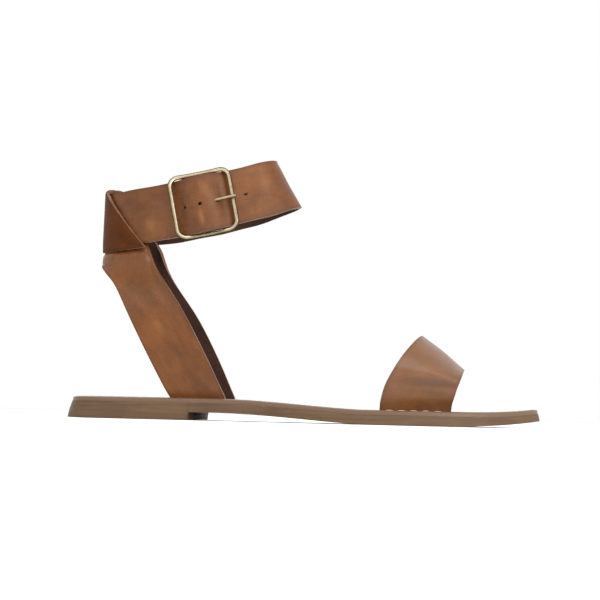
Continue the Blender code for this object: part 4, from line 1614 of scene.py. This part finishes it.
@dataclass
class HeelStrap:
    """Strap from the footbed around the heel, folded over the ankle strap."""

    thick: float = 2.0
    samples: int = 23
    steps: int = 4
    wall_offset: float = -5.5
    flap_offset: float = 2.9
    flap_tuck: float = 2.6
    fold_rise: float = 1.7
    flap_floor: float = -17.4
    tunnel_top: float = 15.1
    fold_angle: float = 18.0
    flap_samples: int = 13
    fold_samples: int = 8
    tuck_from: float = -13.0
    tuck_reach: float = 4.0
    turn_zone: tuple[tuple[float, float], ...] = ((26.0, 56.0), (70.0, 104.0))
    turn_edge: tuple[tuple[float, float], ...] = ((40.0, 52.0), (76.0, 102.0))
    ease_rounds: int = 6
    legs: dict[Side, tuple[Row, ...]] = field(
        default_factory=lambda: {
            Side.OUTER: (
                (57.0, -22.8, 17.0, 86.8, -24.2, 17.6),
                (47.8, -24.0, 33.8, 78.2, -25.8, 35.0),
                (37.2, -22.6, 53.2, 66.0, -24.6, 57.0),
                (28.4, -17.4, 69.2, 50.6, -19.0, 79.6),
            ),
            Side.INNER: (
                (57.0, 20.8, 17.0, 86.8, 16.8, 17.6),
                (47.8, 23.0, 33.8, 78.2, 21.0, 35.0),
                (37.2, 22.4, 53.2, 66.0, 22.6, 57.0),
                (28.4, 17.4, 69.2, 50.6, 19.2, 79.6),
            ),
        }
    )
    tunnel: tuple[tuple[float, ...], ...] = (
        (55.0, 23.2, 13.3, 75.7, 9.0, -17.2),
        (47.0, 21.0, 11.3, 77.8, 21.0, -8.2),
        (37.0, 19.2, 8.5, 79.6, 30.0, 2.0),
        (27.0, 18.0, 6.0, 81.2, 37.5, 9.9),
        (18.0, 17.5, 3.9, 82.2, 42.1, 15.1),
        (9.0, 17.3, 1.9, 82.7, 42.1, 15.1),
        (0.0, 17.2, 0.0, 82.8, 42.1, 15.1),
    )
    underpass: tuple[tuple[float, float], ...] = (
        (2.5, -22.0),
        (2.4, -20.0),
        (1.6, -18.3),
        (-0.2, -16.9),
        (-2.8, -16.3),
        (-4.7, -15.8),
        (-5.5, -14.4),
        (-5.5, -12.0),
    )
    creases: tuple[Crease, ...] = (
        Crease(28.0, 2.0, 9.0, 10.0, 0.35, 20.0),
        Crease(44.0, -3.0, 10.0, 8.0, -0.30, -15.0),
        Crease(60.0, 3.0, 8.0, 10.0, 0.40, 0.0),
    )

    def turn_rows(self) -> list[Vector]:
        """Lay the table's rows closely, from the outer side around the heel.

        Returns:
            The rows, as angle, lower point, reach and top.
        """
        outer = [Vector((-row[0], row[1], -row[2], *row[3:])) for row in self.tunnel]
        inner = [Vector(row) for row in self.tunnel[-2::-1]]
        return spline(outer + inner, self.steps)

    def wall_line(self, row: Vector) -> list[Vector]:
        """Lay out a line under and inside the ankle strap.

        Args:
            row: angle, lower point, reach and top.

        Returns:
            The line's points, lower edge first.
        """
        angle = -pi - radians(row[0])
        low = Vector(row[1:4])
        profile = [RING.point(angle, *pair) for pair in self.underpass]
        profile.append(RING.point(angle, self.wall_offset, self.tunnel_top))
        line = spline([low, low.lerp(profile[0], 0.5)] + profile, 6)
        lower = 2 * 6
        total = 0.0
        for i in range(lower, len(line) - 1):
            step = (line[i + 1] - line[i]).length
            if total + step >= row[4]:
                part = (row[4] - total) / step
                return even_line(line[: i + 1] + [line[i].lerp(line[i + 1], part)], self.samples)
            total += step
        return even_line(line, self.samples)

    def flap_line(self, row: Vector) -> list[Vector]:
        """Lay out the flap's line outside the ankle strap.

        Args:
            row: angle, lower point, reach and top.

        Returns:
            The line's points, from the top down.
        """
        angle = -pi - radians(row[0])
        line = []
        for k in range(self.flap_samples):
            height = row[5] + (self.flap_floor - row[5]) * k / (self.flap_samples - 1)
            tuck = smoothstep((self.tuck_from - height) / self.tuck_reach)
            offset = self.flap_offset + (self.flap_tuck - self.flap_offset) * tuck
            line.append(RING.point(angle, offset, height))
        return line

    def fold_line(self, inside: Vector, outside: Vector) -> list[Vector]:
        """Lay out the round fold over the ankle strap.

        Args:
            inside: the inner wall's top.
            outside: the flap's top.

        Returns:
            The fold's points.
        """
        middle = (inside + outside) / 2.0
        half = (outside - inside) / 2.0
        up = Vector((-sin(RING.tilt), 0.0, cos(RING.tilt)))
        line = [inside]
        for k in range(1, self.fold_samples):
            turn = pi * k / self.fold_samples
            line.append(middle - half * cos(turn) + up * self.fold_rise * sin(turn))
        return line + [outside]

    def build(self) -> bpy.types.Object:
        """Build the strap with its flap and dress it.

        Returns:
            The heel strap.
        """
        rows = self.turn_rows()
        outer, inner = self.leg_lines(Side.OUTER), self.leg_lines(Side.INNER)
        tunnel = [self.wall_line(row) for row in rows]
        rise = smooth_rows(outer + tunnel[:1], self.steps)[:-1]
        wall = rise + tunnel + smooth_rows(tunnel[-1:] + inner[::-1], self.steps)[1:]
        flap = [self.flap_line(row) for row in rows]
        along = lengths(wall)
        first = len(rise)
        near = [k for k, row in enumerate(rows) if abs(row[0]) <= self.fold_angle + 0.01]
        folds = [self.fold_line(tunnel[k][-1], flap[k][0]) for k in near]
        parts = [
            Band(wall, along, widths(wall), self.creases, wave=0.12),
            Band(flap, along[first : first + len(flap)], widths(flap), wave=0.0),
            Band(folds, [along[first + k] for k in near], widths(folds), wave=0.0),
        ]
        mesh_data = bmesh.new()
        for number, part in enumerate(parts):
            sheet = part.flat_sheet()
            part.bend(sheet)
            if not number:
                self.ease_corners(sheet)
            for face in sheet.faces:
                # Flap and fold take the darker finishes, which paint shade onto them.
                face.material_index = 3 if number else 0
            mesh = bpy.data.meshes.new("sheet")
            sheet.to_mesh(mesh)
            sheet.free()
            mesh_data.from_mesh(mesh)
            bpy.data.meshes.remove(mesh)
        bmesh.ops.remove_doubles(mesh_data, verts=mesh_data.verts, dist=0.3)
        bmesh.ops.recalc_face_normals(mesh_data, faces=mesh_data.faces)
        mesh_data.normal_update()
        self.face_outwards(mesh_data)
        leather = StrapLeather(
            "heel_strap_grain", light=(0.158, 0.052, 0.0090), dark=(0.080, 0.024, 0.0038)
        )
        # A darker copy of the strap's leather for the flap: painted shade.
        flap_shaded_grain = StrapLeather(
            "heel_flap_grain",
            light=(0.088, 0.025, 0.0042),
            dark=(0.042, 0.011, 0.0020),
            burnish_and_crease_shade=(0.022, 0.007, 0.002),
            roughness=0.50,
            gloss=0.06,
            coat=0.02,
        )
        return finish_leather("heel_strap_band", mesh_data, "heel_strap", self.thick, leather, flap_shaded_grain)

    def leg_lines(self, side: Side) -> list[list[Vector]]:
        """Return the lines of a leg, from its root in the footbed upwards."""
        roots = [seated(HEEL_ROOT[side], height) for height in (-ROOT_DEPTH, 0.6)]
        return [row_line(row, self.samples) for row in (*roots, *self.legs[side])]

    def ease_corners(self, bm: bmesh.types.BMesh) -> None:
        """Smooth the legs where they turn under the ankle strap.

        Args:
            bm: the strap's sheet, in table millimetres.
        """
        turn_x, turn_z = self.turn_zone
        edge_x, edge_z = self.turn_edge
        near = [
            vert
            for vert in bm.verts
            if turn_x[0] < vert.co.x < turn_x[1]
            and turn_z[0] < vert.co.z < turn_z[1]
            and not vert.is_boundary
        ]
        edge = [
            vert
            for vert in bm.verts
            if edge_x[0] < vert.co.x < edge_x[1] and edge_z[0] < vert.co.z < edge_z[1]
        ]
        for _ in range(self.ease_rounds):
            for verts in (near, edge):
                bmesh.ops.smooth_vert(
                    bm, verts=verts, factor=0.5, use_axis_x=True, use_axis_y=True, use_axis_z=True
                )

    def face_outwards(self, bm: bmesh.types.BMesh) -> None:
        """Turn the sheet so that the legs' grain side faces away from the foot.

        Args:
            bm: the strap's sheet, in table millimetres.
        """
        facing = 0.0
        for face in bm.faces:
            centre = face.calc_center_median()
            if centre.z < 60.0:
                facing += face.normal.y * (1.0 if centre.y > 0.0 else -1.0)
        if facing < 0.0:
            bmesh.ops.reverse_faces(bm, faces=bm.faces)


@dataclass
class Buckle:
    """Bowed rectangular frame with a bar across its middle, and its prong."""

    half_length: float = 16.1
    half_height: float = 16.8
    corner: float = 5.0
    wire: float = 1.2
    bow: float = 1.9
    prong: float = 0.85
    play: float = 0.3
    bar_part: float = 0.96
    prong_tip: float = 1.9
    prong_rise: tuple[tuple[float, float, float], ...] = ((-4.0, 2.5, 0.0), (-8.5, 3.6, 0.0))

    def place(self) -> Matrix:
        """Work out the buckle's own frame.

        Returns:
            The matrix: along the strap, outwards, across it.
        """
        turn = RING.buckle_angle
        origin = RING.point(turn, 0.0, 0.0)
        across = (RING.point(turn, 0.0, 1.0) - origin).normalized()
        along = RING.point(turn - 0.01, 0.0, 0.0) - RING.point(turn + 0.01, 0.0, 0.0)
        outwards = across.cross(along).normalized()
        if outwards.y > 0.0:
            outwards = -outwards
        along = (along - across * along.dot(across)).normalized()
        matrix = Matrix((along, outwards, across)).transposed().to_4x4()
        matrix.translation = origin
        return matrix

    def frame_course(self) -> list[Vector]:
        """Lay out the frame's bowed, rounded rectangle.

        Returns:
            The wire's middle points.
        """
        points = []
        for number, (right, up) in enumerate(((1, 1), (-1, 1), (-1, -1), (1, -1))):
            inner = Vector((self.half_length - self.corner, 0.0, self.half_height - self.corner))
            centre = Vector((right * inner.x, 0.0, up * inner.z))
            for k in range(13):
                turn = pi / 2.0 * (number + k / 12.0)
                points.append(centre + Vector((cos(turn), 0.0, sin(turn))) * self.corner)
            if number in (0, 2):
                for k in range(1, 9):
                    points.append(points[-1].copy())
                    points[-1].x = centre.x - 2.0 * centre.x * k / 9.0
        for point in points:
            point.y = self.bow * (point.x / self.half_length) ** 2
        return points

    def prong_course(self) -> list[Vector]:
        """Lay out the prong: an eye around the bar, then a tip on the frame.

        Returns:
            The wire's middle points.
        """
        eye = self.wire + 0.05 + self.play + self.prong
        points = []
        for k in range(19):
            turn = radians(112.0) - radians(300.0) * (1.0 - k / 18.0)
            points.append(Vector((eye * cos(turn), eye * sin(turn), 0.0)))
        rest = self.bow + self.wire + 0.05 + self.play + self.prong
        tail = [points[-1], *(Vector(row) for row in self.prong_rise)]
        tail.append(Vector((-self.half_length, rest, 0.0)))
        tail.append(Vector((-self.half_length - self.prong_tip, rest - 0.1, 0.0)))
        return points[:-1] + spline(tail, 5)

    def prong_radii(self, part: float) -> tuple[float, float]:
        """Both radii of the prong at a part of its length; its tip is thinner."""
        radius = self.prong * (1.0 - 0.35 * smoothstep((part - 0.9) / 0.1))
        return radius, radius

    def sweep(
        self,
        bm: bmesh.types.BMesh,
        points: Sequence[Vector],
        side: Vector,
        radius: Callable[[float], tuple[float, float]],
        closed: bool,
    ) -> None:
        """Draw a round wire along points.

        Args:
            bm: the mesh that gets it.
            points: the middle of the wire.
            side: a direction that the wire's first radius lies along.
            radius: both radii at a part of the length from 0 to 1.
            closed: whether the wire returns to its start.
        """
        stations = []
        count = len(points)
        for i, point in enumerate(points):
            before = points[i - 1] if closed or i else point
            after = points[(i + 1) % count] if closed or i < count - 1 else point
            tangent = (after - before).normalized()
            first = (side - tangent * side.dot(tangent)).normalized()
            second = tangent.cross(first)
            wide, thick = radius(i / (count - 1))
            turn = Matrix((first * wide, second * thick, tangent)).transposed().to_4x4()
            turn.translation = point
            stations.append(turn)
        made = bmesh.ops.create_circle(
            bm, cap_ends=not closed, segments=16, radius=1.0, matrix=stations[0]
        )
        ring = list(dict.fromkeys(edge for vert in made["verts"] for edge in vert.link_edges))
        start = ring
        for before, after in zip(stations, stations[1:]):
            grown = bmesh.ops.extrude_edge_only(bm, edges=ring)["geom"]
            verts = [item for item in grown if isinstance(item, bmesh.types.BMVert)]
            kept = set(verts)
            bmesh.ops.transform(bm, matrix=after @ before.inverted(), verts=verts)
            ring = [e for e in grown if isinstance(e, bmesh.types.BMEdge) and set(e.verts) <= kept]
        if closed:
            bmesh.ops.bridge_loops(bm, edges=ring + start)
        else:
            bmesh.ops.contextual_create(bm, geom=ring)

    def dress(self, name: str, bm: bmesh.types.BMesh, node: str) -> bpy.types.Object:
        """Set the mask of wear and painted highlight from how each place faces, move the wire into the shoe
        and finish it.

        Args:
            name: the piece's name.
            bm: its mesh in the buckle's own frame.
            node: the solid that it stands for.

        Returns:
            The piece.
        """
        bmesh.ops.recalc_face_normals(bm, faces=bm.faces)
        bm.normal_update()
        wear_and_highlight = bm.verts.layers.float["wear_and_highlight"]
        # Faces turned outwards get wear and a painted highlight; the frame's outer flanks and faces turned
        # away get tarnish and painted shade.
        for vert in bm.verts:
            if vert[wear_and_highlight] > 1.5:
                outer = vert.normal.dot(Vector((vert.co.x, 0.0, vert.co.z)).normalized())
                vert[wear_and_highlight] = min(max(vert.normal.y - 0.42 * outer - 0.15, 0.0), 1.0)
            else:
                vert[wear_and_highlight] = max(0.0, vert.normal.y) * (0.75 if node == "buckle_prong" else 0.30)
        place = Matrix.Translation(SOLE.shift) @ self.place()
        bmesh.ops.transform(bm, matrix=Matrix.Scale(MM, 4) @ place, verts=bm.verts)
        if place.to_3x3().determinant() < 0.0:
            bmesh.ops.reverse_faces(bm, faces=bm.faces)
        return add_piece(name, bm, [AntiqueBrass(f"{name}_brass").make()], node)

    def build(self) -> list[bpy.types.Object]:
        """Build the frame and the prong.

        Returns:
            The frame and the prong.
        """
        bm = bmesh.new()
        wear_and_highlight = bm.verts.layers.float.new("wear_and_highlight")
        outwards = Vector((0.0, 1.0, 0.0))
        self.sweep(bm, self.frame_course(), outwards, lambda part: (self.wire, self.wire), True)
        for vert in bm.verts:
            vert[wear_and_highlight] = 2.0
        bar = [Vector((0.0, 0.0, z * self.half_height)) for z in (-1.0, -0.5, 0.0, 0.5, 1.0)]
        thin = self.wire * self.bar_part
        self.sweep(bm, bar, outwards, lambda part: (thin, thin), False)
        pieces = [self.dress("buckle_frame_wire", bm, "buckle_frame")]
        bm = bmesh.new()
        bm.verts.layers.float.new("wear_and_highlight")
        self.sweep(bm, self.prong_course(), Vector((0.0, 0.0, 1.0)), self.prong_radii, False)
        pieces.append(self.dress("buckle_prong_wire", bm, "buckle_prong"))
        for piece in pieces:
            round_edges(piece, 0.25, 2, 50.0)
        return pieces


@dataclass
class Studio:
    """Pale floor, soft light and the photograph's view."""

    azimuth: float = 5.0
    distance: float = 0.70
    camera_z: float = 0.004
    roll: float = 1.4
    target: tuple[float, float, float] = (-0.002, 0.0, 0.066)
    lens: float = 77.5
    floor_half: float = 40.0
    floor_drop: float = 0.0002
    pale: float = 0.97
    lights: tuple[tuple[str, tuple[float, float, float], float, float], ...] = (
        ("key_softbox", (-0.55, -1.15, 1.25), 0.9, 6.0),
        ("fill_softbox", (1.15, -1.05, 0.32), 0.7, 13.0),
        ("top_softbox", (0.30, -0.60, 1.40), 1.0, 9.0),
        ("back_softbox", (-0.6, 1.3, 0.8), 0.9, 4.0),
    )

    def build(self) -> None:
        """Add camera, floor, world and lights."""
        self.add_camera()
        self.add_floor()
        self.add_world()
        target = Vector(self.target)
        for name, spot, size, power in self.lights:
            self.add_light(name, Vector(spot), target, size, power)

    def add_camera(self) -> None:
        """Set the camera just over the floor, on the outer side."""
        turn = radians(self.azimuth)
        target = Vector(self.target)
        rise = (self.camera_z - target.z) / self.distance
        flat = sqrt(1.0 - rise * rise)
        spot = target + Vector((sin(turn) * flat, -cos(turn) * flat, rise)) * self.distance
        data = bpy.data.cameras.new("view")
        data.lens = self.lens
        data.sensor_width = 36.0
        data.clip_start = 0.02
        data.clip_end = 50.0
        camera = bpy.data.objects.new("view", data)
        look = (target - spot).to_track_quat("-Z", "Y").to_matrix().to_4x4()
        camera.matrix_world = Matrix.Translation(spot) @ look @ Matrix.Rotation(radians(self.roll), 4, "Z")
        bpy.context.scene.collection.objects.link(camera)
        bpy.context.scene.camera = camera

    def add_floor(self) -> None:
        """Lay the pale floor."""
        bm = bmesh.new()
        bmesh.ops.create_grid(bm, x_segments=4, y_segments=4, size=self.floor_half)
        bmesh.ops.translate(bm, verts=bm.verts, vec=(0.0, 0.0, -self.floor_drop))
        mesh = bpy.data.meshes.new("floor")
        bm.to_mesh(mesh)
        bm.free()
        finish = Shader("pale_floor").finish(base_color=(self.pale, self.pale, self.pale), roughness=0.9)
        mesh.materials.append(finish)
        floor = bpy.data.objects.new("floor", mesh)
        bpy.context.scene.collection.objects.link(floor)

    def add_world(self) -> None:
        """Give the room its even light."""
        world = bpy.data.worlds.new("room")
        world.use_nodes = True
        background = world.node_tree.nodes["Background"]
        background.inputs["Color"].default_value = (1.0, 1.0, 1.0, 1.0)
        background.inputs["Strength"].default_value = 1.0
        bpy.context.scene.world = world
        bpy.context.scene.view_settings.view_transform = "Standard"

    def add_light(self, name: str, spot: Vector, target: Vector, size: float, power: float) -> None:
        """Add a square soft light.

        Args:
            name: its name.
            spot: where it stands.
            target: what it points at.
            size: the side of its square in metres.
            power: its power in watts.
        """
        data = bpy.data.lights.new(name, "AREA")
        data.shape = "SQUARE"
        data.size = size
        data.energy = power
        light = bpy.data.objects.new(name, data)
        look = (target - spot).to_track_quat("-Z", "Y").to_matrix().to_4x4()
        light.matrix_world = Matrix.Translation(spot) @ look
        bpy.context.scene.collection.objects.link(light)


def main() -> None:
    """Build the sandal's pieces in order."""
    logging.basicConfig(level=logging.INFO, format="%(name)s: %(message)s")
    for item in list(bpy.data.objects):
        if item.type in ("CAMERA", "LIGHT") or item.name == "Cube":
            bpy.data.objects.remove(item)
    Studio().build()
    pieces = [Outsole(SOLE).build()]
    pieces += Footbed(SOLE, slot_ends()).build()
    pieces.append(ToeStrap().build())
    pieces.append(HeelStrap().build())
    pieces.append(AnkleStrap().build())
    pieces += Buckle().build()
    LOG.info("%d pieces in all", len(pieces))
    bpy.context.view_layer.update()


if __name__ == "__main__":
    main()
